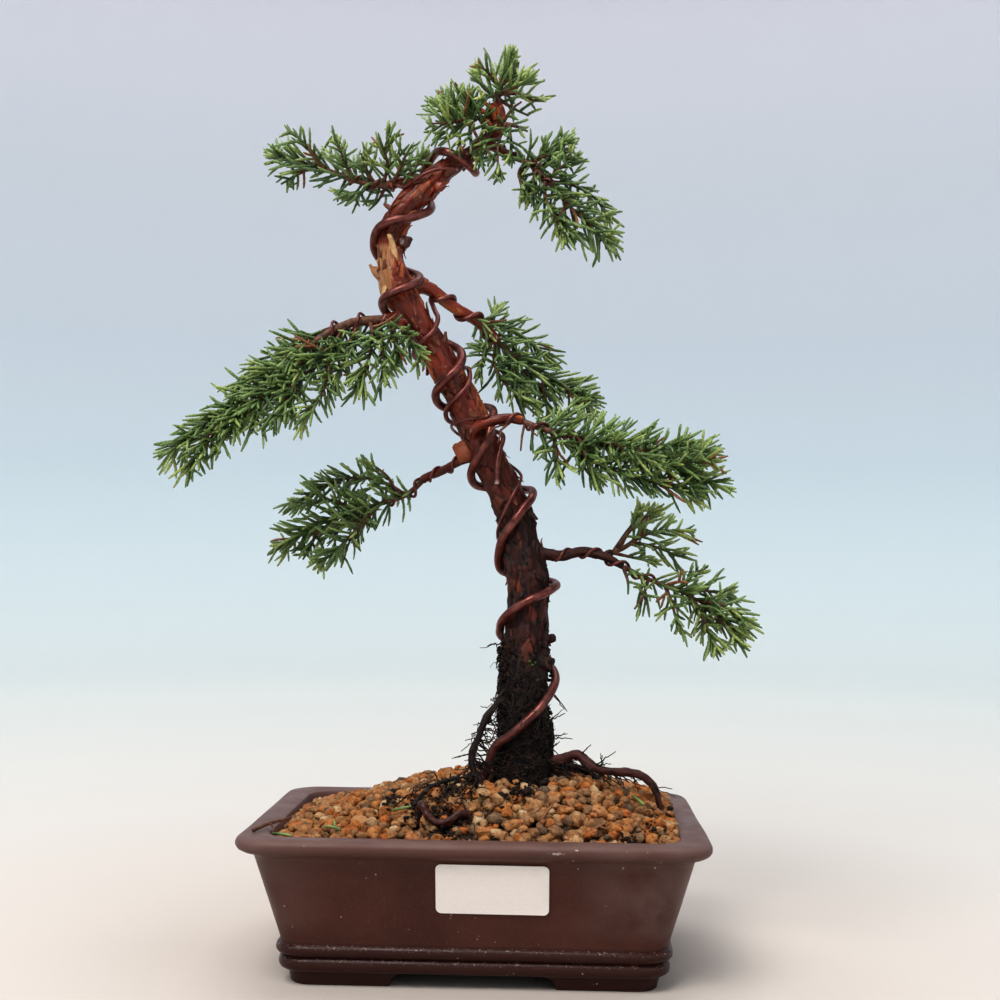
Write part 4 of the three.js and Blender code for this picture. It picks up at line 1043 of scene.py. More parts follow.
pour(4.6, 5.4, 7.4, 0.5)
pour(5.8, 4.6, 8.2, 0.12)
pour(9.5, 3.0, 4.6, -0.2)
picks = [draw.randrange(GRAIN_SHAPES) for _ in grain_places]
grains_mesh = copies("gravel_grains", grain_shapes, picks, grain_places, tone=grain_tones)
grains_mesh.set_sharp_from_angle(angle=math.radians(52))
grit, tree, shader = new_material("baked_clay_grains")
where = coordinates(tree)
tone = node(tree, "ShaderNodeAttribute", attribute_name="tone").outputs["Fac"]
shades = node(tree, "ShaderNodeValToRGB", {"Fac": tone})
stops = [
    (0.0, (0.56, 0.42, 0.26)), (0.09, (0.44, 0.28, 0.14)), (0.15, (0.43, 0.14, 0.036)),
    (0.3, (0.42, 0.175, 0.052)), (0.46, (0.37, 0.175, 0.07)), (0.62, (0.32, 0.17, 0.075)),
    (0.76, (0.22, 0.13, 0.07)), (0.9, (0.13, 0.09, 0.058)),
    (0.94, (0.012, 0.009, 0.008)),
]
while len(shades.color_ramp.elements) < len(stops):
    shades.color_ramp.elements.new(0.5)
for element, (position, rgb) in zip(shades.color_ramp.elements, stops):
    element.position, element.color = position, (*rgb, 1)
pores = cloudy(tree, where, 650, 6, 0.65)
patchy = ramp(tree, cloudy(tree, where, 190, 3), 0.35, 0.7)
colour = blend_colours(tree, patchy, shades.outputs["Color"], (0.62, 0.52, 0.44), "MULTIPLY")
colour = blend_colours(tree, ramp(tree, pores, 0.3, 0.52, 0.85, 0), colour, (0.05, 0.022, 0.011))
colour = blend_colours(tree, ramp(tree, pores, 0.55, 0.8, 0, 0.45), colour, (0.62, 0.38, 0.17))
tree.links.new(colour, shader.inputs["Base Color"])
shader.inputs["Roughness"].default_value = 0.9
shader.inputs["Specular IOR Level"].default_value = 0.25
tree.links.new(rounded_up(tree, pores, 0.8, 0.0005), shader.inputs["Normal"])
finished("gravel_grains", grains_mesh, grit, "gravel")

# The fine roots: hair-thin black feeder roots matted over the trunk's foot and hung under the bigger roots.
# They were washed out of the old root ball when the tree was potted, and dried where they hang.
FOOT_LOW, FOOT_HIGH = 84, 152


def axis_at(height):
    """Middle and radius of the trunk at a height, in millimetres."""
    rows = np.array(TRUNK)
    return [float(np.interp(height, rows[:, 2], rows[:, column])) for column in (0, 1, 3)]


def beside_trunk(degrees, height, off):
    """A point at a distance from the bark of the trunk's foot."""
    middle_x, middle_y, radius = axis_at(height)
    angle = math.radians(degrees)
    return (
        middle_x + (radius + off) * math.cos(angle), middle_y + (radius + off) * math.sin(angle),
        height,
    )


def loose_strand(start, end, sag, sway, draw, steps=7):
    """A hair root between two points that sags and wanders, tapering to a point."""
    dots = []
    for step in range(steps + 1):
        share = step / steps
        dot = Vector(start).lerp(Vector(end), share)
        dot.z -= sag * 4 * share * (1 - share)
        if 0 < share:
            stray = Vector([draw.gauss(0, sway) for _ in range(3)])
            dot += stray * math.sin(math.pi * min(1, share + 0.12))
        dots.append((*dot, 0.36 * (1 - 0.5 * share)))
    return np.array(dots)


draw = random.Random(12)
strands = []
for _ in range(1000):
    degrees = draw.uniform(0, 360)
    reach_up = 0.72 + 0.28 * math.cos(math.radians(degrees - 200))
    height = FOOT_LOW + (FOOT_HIGH - FOOT_LOW) * reach_up * draw.random() ** 1.5
    off, drift = draw.uniform(0.1, 1.2), draw.gauss(0, 7)
    flare = draw.uniform(0.4, 1.4) if draw.random() < 0.07 else draw.uniform(-0.12, 0.18)
    fall = draw.uniform(-0.6, 2.8)
    thin = draw.uniform(0.2, 0.4)
    dots = []
    for step in range(draw.randint(4, 8)):
        dots.append((*beside_trunk(degrees, height, off), thin * (1 - 0.09 * step)))
        degrees += drift + draw.gauss(0, 5)
        height -= fall + draw.gauss(0, 0.9)
        off = max(0.1, off + flare + draw.gauss(0, 0.35))
    strands.append(np.array(dots))
aerial = evenly(ROOTS[0][1], np.linspace(0.12, 1, 40))
for _ in range(80):
    start = aerial[draw.randrange(40)]
    end = beside_trunk(draw.uniform(185, 262), start[2] + draw.uniform(-16, 7), 0.2)
    if draw.random() < 0.35:
        end = tuple(start + np.array([draw.uniform(-9, 5), draw.uniform(-5, 4), draw.uniform(-13, 2)]))
    strands.append(loose_strand(start, end, draw.uniform(-0.5, 2.5), 0.8, draw))
surface = evenly(ROOTS[1][1], np.linspace(0.02, 0.8, 40))
for _ in range(110):
    pick = min(39, int(40 * draw.random() ** 1.7))
    start = surface[pick]
    end = start + np.array([draw.uniform(2, 15), draw.uniform(-7, 7), -draw.uniform(3, 9)])
    end[2] = max(end[2], mound_height(end[0], end[1]) - 1)
    strands.append(loose_strand(start, end, draw.uniform(-1, 1.5), 0.7, draw))
for start, end in [
    ((55, -11, 93), (64, -13, 96)), ((58, -12, 93), (56, -15, 99)), ((34, -3, 127), (40, -5, 119)),
    ((34, -4, 113), (41, -6, 120)), ((35, -4, 105), (43, -6, 107)), ((34, -2, 100), (39, -6, 103)),
    ((-3, -12, 98), (-12, -13, 96)),
    ((-2, -13, 92), (-9, -15, 84)), ((47, -6, 96), (52, -8, 101)), ((30, -8, 96), (38, -12, 92)),
]:
    for _ in range(2):
        tip = tuple(np.array(end) + [draw.gauss(0, 1.5) for _ in range(3)])
        strands.append(loose_strand(start, tip, 0, 0.45, draw))
for _ in range(55):
    x, y = draw.gauss(-8, 9), draw.gauss(-22, 10)
    length, heading = draw.uniform(4, 11), draw.uniform(0, math.tau)
    x2, y2 = x + length * math.cos(heading), y + length * math.sin(heading)
    if max(abs(x), abs(x2)) > 84 or max(abs(y), abs(y2)) > 55:
        continue
    start, end = (x, y, mound_height(x, y) + 1.5), (x2, y2, mound_height(x2, y2) + draw.uniform(-1, 3))
    strands.append(loose_strand(start, end, -draw.uniform(0, 3), 0.8, draw))
for points, radius in [
    ([(-1, -13, 88), (-11, -17, 86.5), (-20, -22, 84.5), (-26, -31, 80.5), (-28, -41, 78)], (0.9, 0.8)),
    ([(-8, -15, 87), (-14, -25, 82.5), (-15, -35, 77.5), (-12, -44, 73.5)], (0.7, 0.45)),
    ([(-1, -16, 87), (-3, -27, 82), (-1, -36, 77.5), (3, -42, 73)], (0.6, 0.35)),
    ([(-16, -20, 85), (-24, -22, 83.5), (-33, -27, 79.5), (-38, -33, 75)], (0.6, 0.35)),
]:
    strand = tapered(points, radius, 24)
    strand[:, :3] += [[draw.gauss(0, 0.45) for _ in range(3)] for _ in strand]
    strand[:, 3] *= [draw.uniform(0.7, 1.3) for _ in strand]
    strands.append(strand)
fine_roots, tree, shader = new_material("fine_root_black")
where = coordinates(tree)
tint = cloudy(tree, where, 240, 3)
colour = blend_colours(tree, ramp(tree, tint, 0.35, 0.7), (0.006, 0.004, 0.004), (0.032, 0.018, 0.013))
colour = blend_colours(tree, ramp(tree, tint, 0.66, 0.78, 0, 0.7), colour, (0.1, 0.035, 0.02))
tree.links.new(colour, shader.inputs["Base Color"])
shader.inputs["Roughness"].default_value = 0.7
shader.inputs["Specular IOR Level"].default_value = 0.25
finished("fine_roots", tubes("fine_roots", strands, 0), fine_roots, "bark")

# The bark flakes: strips of dry outer bark that have split off along the grain and lift at one end.
# Juniper bark peels like this by itself. The young bark under the biggest ones is still orange.
FLAKE_SHAPES = 6


def flake_shape(draw, taper=0.55, ragged=0.25, curl=None):
    """A strip 1 long and 1 wide that starts flat and curls up towards its torn end."""
    strip = bmesh.new()
    bmesh.ops.create_cube(strip, size=1)
    bmesh.ops.translate(strip, vec=(0, 0, 0.5), verts=strip.verts)
    lengthwise = [edge for edge in strip.edges if abs(edge.verts[0].co.z - edge.verts[1].co.z) > 0.5]
    bmesh.ops.subdivide_edges(strip, edges=lengthwise, cuts=5, use_grid_fill=True)
    twist, seed = draw.uniform(-0.5, 0.5), draw.uniform(0, 40)
    curl = draw.uniform(0.15, 0.4) if curl is None else curl
    for vert in strip.verts:
        x, y, z = vert.co
        width = (1 - taper * z ** 3) * (1 + ragged * noise.noise(Vector((seed, x * 3, z * 5))))
        x = x * width + 0.12 * noise.noise(Vector((seed + 9, 0, z * 3)))
        lift = curl * z * z + 0.04 * math.sin(z * 7 + seed)
        vert.co = (x, y * (1 - 0.4 * z) + lift / 0.12 + twist * x * z, z)
    mesh = bpy.data.meshes.new("flake")
    strip.to_mesh(mesh)
    strip.free()
    return mesh


draw = random.Random(5)
flake_shapes = [arrays_of(flake_shape(draw)) for _ in range(FLAKE_SHAPES)]
flake_shapes.append(arrays_of(flake_shape(draw, 0.12, 0.05, 0.05)))
flake_places, flake_tones = [], []


def stick_flake(point, outwards, along, length, width, tone):
    """Puts a flake on the bark at a point, in millimetres, with its torn end towards a direction."""
    across_bark = along.cross(outwards).normalized()
    turn = Matrix((across_bark, outwards, along)).transposed().to_4x4()
    size = Matrix.Diagonal((width * MM, 0.12 * length * MM, length * MM, 1))
    flake_places.append(np.array(Matrix.Translation(place(*(point - outwards * 0.25))) @ turn @ size))
    flake_tones.append(tone)


rows = np.flatnonzero(is_trunk & (bark_points[:, 2] > 140) & (bark_points[:, 2] < 412))
for _ in range(300):
    row = rows[draw.randrange(len(rows))]
    outwards = Vector(outward[row]).normalized()
    run = through(TRUNK, np.array([grain[row, 2] / 385, grain[row, 2] / 385 + 0.02]))[:, :3]
    along = Vector(run[1] - run[0]).normalized() * draw.choice((-1, 1))
    along += Vector([draw.gauss(0, 0.18) for _ in range(3)])
    along = (along - outwards * along.dot(outwards)).normalized()
    length = draw.uniform(2.2, 6.5) * (1.0 if age[row] < 0.5 else 0.7)
    stick_flake(
        Vector(moved[row]), outwards, along, length, length * draw.uniform(0.3, 0.6),
        age[row] * 0.75 + draw.uniform(-0.3, 0.25),
    )
flap = len(flake_places)
for point, outwards, along, length, width, tone in [
    ((-7.4, -4.8, 243.6), (-0.15, -0.98, 0.1), (-0.89, 0.08, -0.46), 7, 10.5, -0.2),
    ((-38, -9, 291), (-0.5, -0.8, 0), (-0.75, 0.1, -0.4), 6, 4, -0.5),
    ((-36, -3, 327), (0.2, -0.9, 0.4), (0.93, 0.1, -0.3), 8, 5, -0.2),
    ((-47, -6, 361), (-0.7, -0.7, 0), (-0.8, 0.1, 0.5), 5, 2.4, 0.2),
    ((22, -5, 214), (0.6, -0.7, 0.2), (0.85, -0.1, -0.5), 6.5, 2.4, 0.6),
    ((3, -3, 411), (0.1, -1, 0.1), (-0.8, 0, 0.6), 6, 2.4, -0.5),
    ((5, -3, 409), (0.6, -0.7, 0.1), (0.5, 0, 0.8), 5.5, 2.2, -0.6),
    ((1, -3, 409), (-0.3, -0.9, 0.1), (-0.6, 0, 0.3), 7, 2.6, -0.4),
    ((4, -3.6, 406), (0.2, -0.9, 0.1), (-0.2, 0, 0.9), 6.5, 2, -0.7),
    ((6, -3.4, 405), (0.4, -0.9, 0.1), (0.7, 0, 0.5), 5, 2.2, -0.3),
    ((2, -3.8, 403), (-0.3, -0.9, 0.1), (-0.7, 0, 0.7), 6, 2.2, -0.5),
    ((5, -3.8, 401), (0.4, -0.9, 0.1), (0.8, 0, -0.3), 5, 2.4, -0.2),
    ((0, -4, 399), (-0.4, -0.9, 0.1), (-0.3, 0, 0.9), 6, 2, 0.0),
    ((-24, -7, 377), (0, -1, 0.1), (-0.7, 0, 0.7), 6, 2.4, -0.2),
    ((-44, -8, 335), (-0.3, -0.9, 0), (-0.1, 0, 1), 12, 3.5, -1.2),
    ((-47.5, -7, 327), (-0.6, -0.8, 0), (-0.2, 0, -1), 10, 3.0, -1.2),
    ((-49, -5, 322), (-0.8, -0.6, 0), (-0.3, 0, 1), 14, 4.2, -1.2),
    ((-41, -8, 322), (0, -1, 0), (0.1, 0, 1), 11, 2.6, -0.4),
]:
    outwards = Vector(outwards).normalized()
    along = Vector(along)
    along = (along - outwards * along.dot(outwards)).normalized()
    stick_flake(Vector(point), outwards, along, length, width, tone)
picks = [draw.randrange(FLAKE_SHAPES) for _ in flake_places]
picks[flap] = FLAKE_SHAPES
flake_mesh = copies("bark_flakes", flake_shapes, picks, flake_places, tone=flake_tones)
flaky, tree, shader = new_material("peeling_bark")
where = coordinates(tree)
tone = reading(tree, "tone")
grainy = cloudy(tree, where, 700, 4, 0.6)
colour = blend_colours(tree, ramp(tree, tone, 0.15, 0.75), (0.15, 0.045, 0.024), (0.022, 0.011, 0.009))
colour = blend_colours(tree, ramp(tree, tone, 0.05, -0.75), colour, (0.38, 0.085, 0.02))
colour = blend_colours(tree, ramp(tree, tone, -1.05, -1.15), colour, (0.48, 0.28, 0.13))
colour = blend_colours(tree, ramp(tree, grainy, 0.5, 0.25, 0, 0.7), colour, (0.03, 0.01, 0.006))
tree.links.new(colour, shader.inputs["Base Color"])
shader.inputs["Roughness"].default_value = 0.55
shader.inputs["Specular IOR Level"].default_value = 0.3
tree.links.new(rounded_up(tree, grainy, 0.5, 0.0003), shader.inputs["Normal"])
finished("bark_flakes", flake_mesh, flaky, "bark")

# The training wires: soft copper-coloured aluminium wire in three sizes, wound round the trunk and branches.
# The thick one is anchored in the soil, and each is clipped off where its winding ends.
WIRE_THICK, WIRE_MEDIUM = 2.1, 1.2
WIRE_STAND_OFF = 0.8
# Turn round the trunk in degrees (180 left, 270 front, 360 right), height and how far it stands off
THICK_ROUTE = [
    (192, 76, 6), (205, 96, 4), (235, 104.5, 1.5), (265, 111.5, 0), (290, 117.5, 0), (320, 125, 0),
    (350, 131.5, 0), (400, 139, 0), (450, 146, 0), (500, 151, 0), (545, 156.5, -1.1), (572, 161, 0),
    (600, 166, 0), (628, 170, 0), (658, 173.5, 0), (700, 177, 0), (760, 179.5, 0), (820, 182, 0),
    (880, 184.5, -0.8), (910, 190, -1.3), (935, 197, -1), (974, 206, 0), (1010, 214, 0), (1050, 220, 0),
    (1085, 224, 0), (1140, 225, 0), (1200, 225.5, 0), (1255, 227, 0), (1290, 232, 0), (1325, 238, 0),
    (1360, 245, 0), (1388, 253, 0), (1425, 262, 0), (1480, 265.5, 0), (1540, 265.5, 0), (1600, 265, 0),
    (1640, 269, 0), (1685, 274, 0), (1742, 282, 0), (1790, 289.5, 0), (1850, 297, 0), (1920, 305, 0),
    (1985, 313, -0.8), (2045, 317.5, 0), (2105, 322, 0), (2160, 328, 0), (2220, 333, 0), (2290, 338, -1.2),
    (2345, 344.5, -1.8), (2385, 350.5, -1.2), (2430, 353.5, 0), (2477, 355.5, 0), (2520, 361, 0),
]
THICK_END = [
    (-28, 5.5, 366), (-33, 7.4, 375), (-31, 6, 384), (-25.5, -1, 390), (-20.5, -9, 388.5),
    (-14, -10.6, 385.5), (-8, -8.5, 381), (-5.5, -1.5, 380),
]
MEDIUM_ROUTE = [
    (262, 226.5, 0.2), (280, 234, 0.2), (305, 242, 0.2), (350, 250, 0.2), (400, 253.5, 0.2),
    (460, 256, 0.2), (530, 258, 0.2), (570, 262, 0.2), (625, 268, 0.2), (672, 275, 0.2), (715, 283, 0.2),
    (780, 285.5, 0.2), (850, 287, 0.2), (905, 289, 0.2), (960, 293, 0.2), (1010, 299, 0.6),
    (1050, 306, 0.4), (1090, 312, 0.2),
]


def on_trunk(degrees, height, stand_off):
    """The point beside the trunk's bark at a turn, a height and a distance from it."""
    angle = math.radians(degrees)
    low, high = 0.0, 1.0
    for _ in range(22):
        share = (low + high) / 2
        here, ahead = through(TRUNK, np.array([share, share + 0.0002]))
        if share > 0.999:
            here, ahead = through(TRUNK, np.array([share - 0.0002, share]))
        tangent = Vector(ahead[:3] - here[:3]).normalized()
        right = (Vector((1, 0, 0)) - tangent * tangent.x).normalized()
        back = tangent.cross(right)
        side = right * math.cos(angle) + back * math.sin(angle)
        point = Vector(here[:3]) + side * (here[3] + stand_off)
        if point.z < height:
            low = share
        else:
            high = share
    return tuple(point)


def round_trunk(route, wire_radius):
    """Points of a wire round the trunk, one for every 25 degrees that it turns."""
    turns = np.arange(route[0][0], route[-1][0] + 0.1, 25)
    known = [row[0] for row in route]
    heights = np.interp(turns, known, [row[1] for row in route])
    offs = np.interp(turns, known, [row[2] for row in route])
    return [on_trunk(*row[:2], row[2] + wire_radius + WIRE_STAND_OFF) for row in zip(turns, heights, offs)]


def across(tangent):
    """Two directions across a stem, the same way round wherever it points."""
    pole = Vector((0, 1, 0)) if abs(tangent.z) > 0.93 else Vector((0, 0, 1))
    side = tangent.cross(pole).normalized()
    return side, side.cross(tangent)


def round_branch(branch):
    """Points of the wire wound round a branch."""
    radius, start, end, turns, angle = branch["wire"]
    count = round(turns * 9)
    points = []
    for step in range(count + 1):
        share = start + (end - start) * step / count
        before, here, after = (
            Vector(dot)
            for dot in evenly(branch["path"], [share - 0.002, share, share + 0.002])
        )
        side, up = across((after - before).normalized())
        turn = math.radians(angle + turns * 360 * step / count)
        off = 0.97 * wood_radius(branch, share) + radius + 0.1
        points.append(tuple(here + side * off * math.cos(turn) + up * off * math.sin(turn)))
    return points


wire_metal, tree, shader = new_material("wire_metal")
where = coordinates(tree)
worn = cloudy(tree, where, 260, 5, 0.6)
colour = blend_colours(tree, ramp(tree, worn, 0.3, 0.65), (0.09, 0.024, 0.02), (0.175, 0.057, 0.046))
# Lighter patches on the wire: painted highlight
colour = blend_colours(
    tree, ramp(tree, cloudy(tree, where, 90, 3), 0.58, 0.72, 0, 0.5), colour, (0.27, 0.11, 0.085),
)
soil_dots = ramp(tree, cloudy(tree, where, 520, 5, 0.7), 0.5, 0.62)
soil_dots = times(tree, soil_dots, ramp(tree, height_of(tree), 0.17, 0.105))
colour = blend_colours(tree, soil_dots, colour, (0.014, 0.009, 0.007))
colour = blend_colours(tree, reading(tree, "cut_end"), colour, (0.72, 0.55, 0.48))
tree.links.new(colour, shader.inputs["Base Color"])
tree.links.new(ramp(tree, soil_dots, 0, 1, 0.75, 0.1), shader.inputs["Metallic"])
dull = times(tree, ramp(tree, worn, 0.3, 0.7, 0.3, 0.46), ramp(tree, soil_dots, 0, 1, 0, 0.4), "ADD")
tree.links.new(dull, shader.inputs["Roughness"])
tree.links.new(rounded_up(tree, cloudy(tree, where, 700, 3), 0.12, 0.0003), shader.inputs["Normal"])
# Where three of the thin wires are anchored: they run over the trunk before they reach their branch
ANCHORS = {
    "top_left": [
        (-14, -8.5, 379.8), (-19, -10, 379.6), (-24, -10.2, 379.3), (-29.4, -10.5, 377.3),
        (-35.6, -9.4, 373.6),
        (-41, -5.5, 371.6),
    ],
    "top_right": [(-7, -6, 401), (-5, -8.4, 396.5), (-2, -9.2, 392.5), (3, -9.4, 389.4)],
    "right_main": [
        (7, 4, 200), (7.4, -1.7, 205), (10.5, -6.4, 213), (15, -6.2, 222), (18.3, -1, 229.5), (16, 6, 234),
        (8, 13.5, 240), (-3, 14.4, 247), (-13.5, 9, 252), (-15.8, -3, 255), (-9.5, -10.4, 257),
    ],
}
wire_routes = {"wire_trunk_thick": (round_trunk(THICK_ROUTE, WIRE_THICK) + THICK_END, WIRE_THICK)}
for branch in BRANCHES:
    if branch["name"] == "back_right":
        wire_routes["wire_trunk_medium"] = (
            round_trunk(MEDIUM_ROUTE, WIRE_MEDIUM) + round_branch(branch), WIRE_MEDIUM,
        )
    elif branch["wire"]:
        anchor = ANCHORS.get(branch["name"], [])
        wire_routes["wire_" + branch["name"]] = (anchor + round_branch(branch), branch["wire"][0])
wire_dots = []
noise.seed_set(4)
for name, (points, radius) in wire_routes.items():
    steps = 5 * len(points)
    route = through(points, np.linspace(0, 1, steps))
    sway = np.array([noise.noise_vector(Vector(dot) * 0.11) for dot in route]) * (0.1 + 0.08 * radius)
    route = np.column_stack([route + sway, np.full(steps, radius)])
    route[0, 3] = route[-1, 3] = radius * 0.86
    ends = np.vstack(
        [route[0] + (route[0] - route[1]) * 0.12, route, route[-1] + (route[-1] - route[-2]) * 0.12]
    )
    ends[0, 3] = ends[-1, 3] = radius * 0.8
    ends[1, 3] = ends[-2, 3] = radius
    mesh = tubes(name, [ends], 6 if radius > 1 else 3)
    gaps = np.minimum(
        *(np.linalg.norm(in_millimetres(mesh) - tip[:3], axis=1) for tip in (ends[0], ends[-1]))
    )
    mark(mesh, cut_end=1 - step_up(gaps, radius * 0.95, radius * 1.1))
    finished(name + "_coil", mesh, wire_metal, "wire", name)
    wire_dots.append(route)
wire_dots = np.vstack(wire_dots)

# The foliage: thin cords of scale leaves that stand off the leafy stems on all sides and lean forward.
# Each cord is a small branchlet with one side cord at the most, and each spray grows from one branch.
CORD_SPACING = 0.74
CORD_THICKNESS = 1.55
CORD_LONGEST = 17
CORD_SHAPES = 12
GOLDEN_TURN = 137.508
# How much fewer and longer the cords of the thin sprays are
AIRY = {
    "crown_left": 2.1, "crown_low": 1.6, "apex": 1.6, "top_left": 1.3, "top_right": 1.35, "back_right": 1.1,
    "left_lower": 1.15, "right_lower_upright": 1.4, "right_lower": 1.25,
}
# How much more the cords of the top sprays rise
RISING = {"crown_left": 1.1, "apex": 0.5, "left_lower": 0.2}
LEAN_BASE, LEAN_TIP = 70, 36
# Where the camera stands, in millimetres from the middle of the pot's foot
CAMERA_PLACE = (34.416, -665.26, 187.921)
# More leafy stems than the frame's sprays have: their reach, then the route
MORE_TWIGS = {
    "top_left": [
        (9, [(-46, -1, 375), (-41, -9, 383), (-36, -12, 391)]),
        (8, [(-57, 3, 376), (-60, -3, 383), (-62, -5, 389)]),
        (8, [(-41, 0, 374), (-34, -8, 382), (-28, -11, 388)]),
        (9, [(-88, 10, 387), (-98, 16, 384), (-106, 18, 380)]),
        (8, [(-50, 2, 375), (-55, 9, 369), (-60, 12, 365)]),
    ],
    "crown_left": [
        (8, [(-3, 2, 409), (-7, -7, 413), (-9, -10, 418)]),
        (7, [(-4, 2, 408), (-2, -9, 401), (-2, -12, 395)]),
        (8, [(-10, 4, 410), (-18, 11, 416), (-22, 13, 421)]),
        (8, [(-8, 3, 409), (-13, -6, 402), (-16, -10, 396)]),
        (8, [(-8, 3, 409), (-15, -8, 404), (-20, -12, 397)]),
        (7, [(-6, 2, 408), (-12, -9, 400), (-13, -13, 392)]),
        (7, [(-14, 5, 413), (-20, -4, 405), (-26, -8, 399)]),
    ],
    "apex": [
        (8, [(5, 0, 419), (12, -7, 420), (18, -10, 422)]), (7, [(5, 0, 419), (-1, 7, 424), (-5, 9, 429)]),
        (7, [(6, 0, 424), (13, 0, 430), (15, 0, 436)]), (8, [(5, 1, 418), (12, 9, 416), (20, 12, 413)]),
        (7, [(5, 0, 418), (2, -8, 416), (-1, -12, 413)]),
    ],
    "crown_low": [
        (7, [(6, -2, 402), (12, -9, 409), (17, -12, 412)]),
        (7, [(10, -5, 403), (12, -11, 394), (12, -14, 386)]),
        (8, [(2, 0, 402), (-1, -11, 392), (-3, -15, 384)]),
    ],
    "top_right": [
        (8, [(19, -9, 383), (16, -14, 376), (18, -17, 369)]),
        (9, [(40, -18, 360), (36, -25, 352), (38, -29, 344)]),
        (9, [(44, -19, 356), (52, -14, 352), (58, -12, 346)]),
        (9, [(25, -12, 379), (34, -12, 384), (42, -13, 384)]),
        (8, [(30, -14, 373), (37, -19, 378), (43, -21, 382)]),
        (8, [(21, -10, 382), (30, -15, 385), (37, -17, 389)]),
    ],
    "left_upper": [
        (11, [(-61, -13, 303), (-63, -20, 294), (-65, -24, 285), (-68, -27, 277)]),
        (9, [(-48, -8, 306), (-41, -16, 301), (-34, -23, 293), (-29, -26, 285)]),
        (10, [(-50, -9, 305), (-49, -19, 297), (-47, -25, 287), (-46, -28, 279)]),
        (9, [(-116, -33, 257), (-124, -37, 247), (-128, -39, 239)]),
        (9, [(-125, -35, 250), (-131, -38, 240), (-134, -38, 232)]),
        (9, [(-92, -25, 281), (-104, -21, 279), (-114, -22, 272)]),
        (9, [(-86, -26, 281), (-87, -33, 268), (-89, -36, 258)]),
        (9, [(-100, -28, 275), (-104, -35, 262), (-106, -38, 252)]),
        (8, [(-111, -28, 267), (-115, -35, 257), (-116, -38, 249)]),
    ],
    "back_right": [
        (9, [(4, 16, 301), (0, 14, 294), (-3, 12, 286)]),
        (9, [(28, 26, 283), (29, 26, 274), (31, 26, 265)]),
        (9, [(14, 21, 293), (13, 14, 284), (17, 12, 275)]),
        (9, [(38, 29, 279), (44, 25, 272), (52, 24, 266)]),
    ],
    "right_main": [
        (9, [(30, -21, 251), (34, -14, 255), (40, -10, 259)]),
        (9, [(84, -28, 234), (94, -35, 235), (103, -38, 236)]),
        (9, [(70, -27, 239), (82, -34, 243), (92, -37, 243)]),
        (9, [(46, -24, 247), (49, -31, 238), (54, -34, 230)]),
    ],
    "left_lower": [
        (9, [(-44, 15, 221), (-48, 10, 230), (-55, 7, 236)]),
        (9, [(-66, 19, 214), (-77, 15, 219), (-88, 13, 217)]),
        (9, [(-84, 21, 206), (-89, 25, 196), (-93, 26, 189)]),
        (8, [(-60, 18, 215), (-66, 21, 204), (-70, 22, 195)]),
    ],
    "right_lower_upright": [
        (7, [(62, 0, 194), (71, 2, 192), (80, 3, 190)]),
        (8, [(64, 2, 195), (70, 7, 204), (76, 9, 212)]),
    ],
    "right_lower": [
        (8, [(88, -7, 178), (91, -11, 169), (93, -13, 161)]),
        (6, [(94, -7, 176), (100, -2, 182), (106, 0, 186)]),
        (8, [(106, -8, 170), (108, -2, 161), (110, 1, 153)]),
        (7, [(68, -3, 187), (70, -8, 180), (70, -11, 174)]),
    ],
}
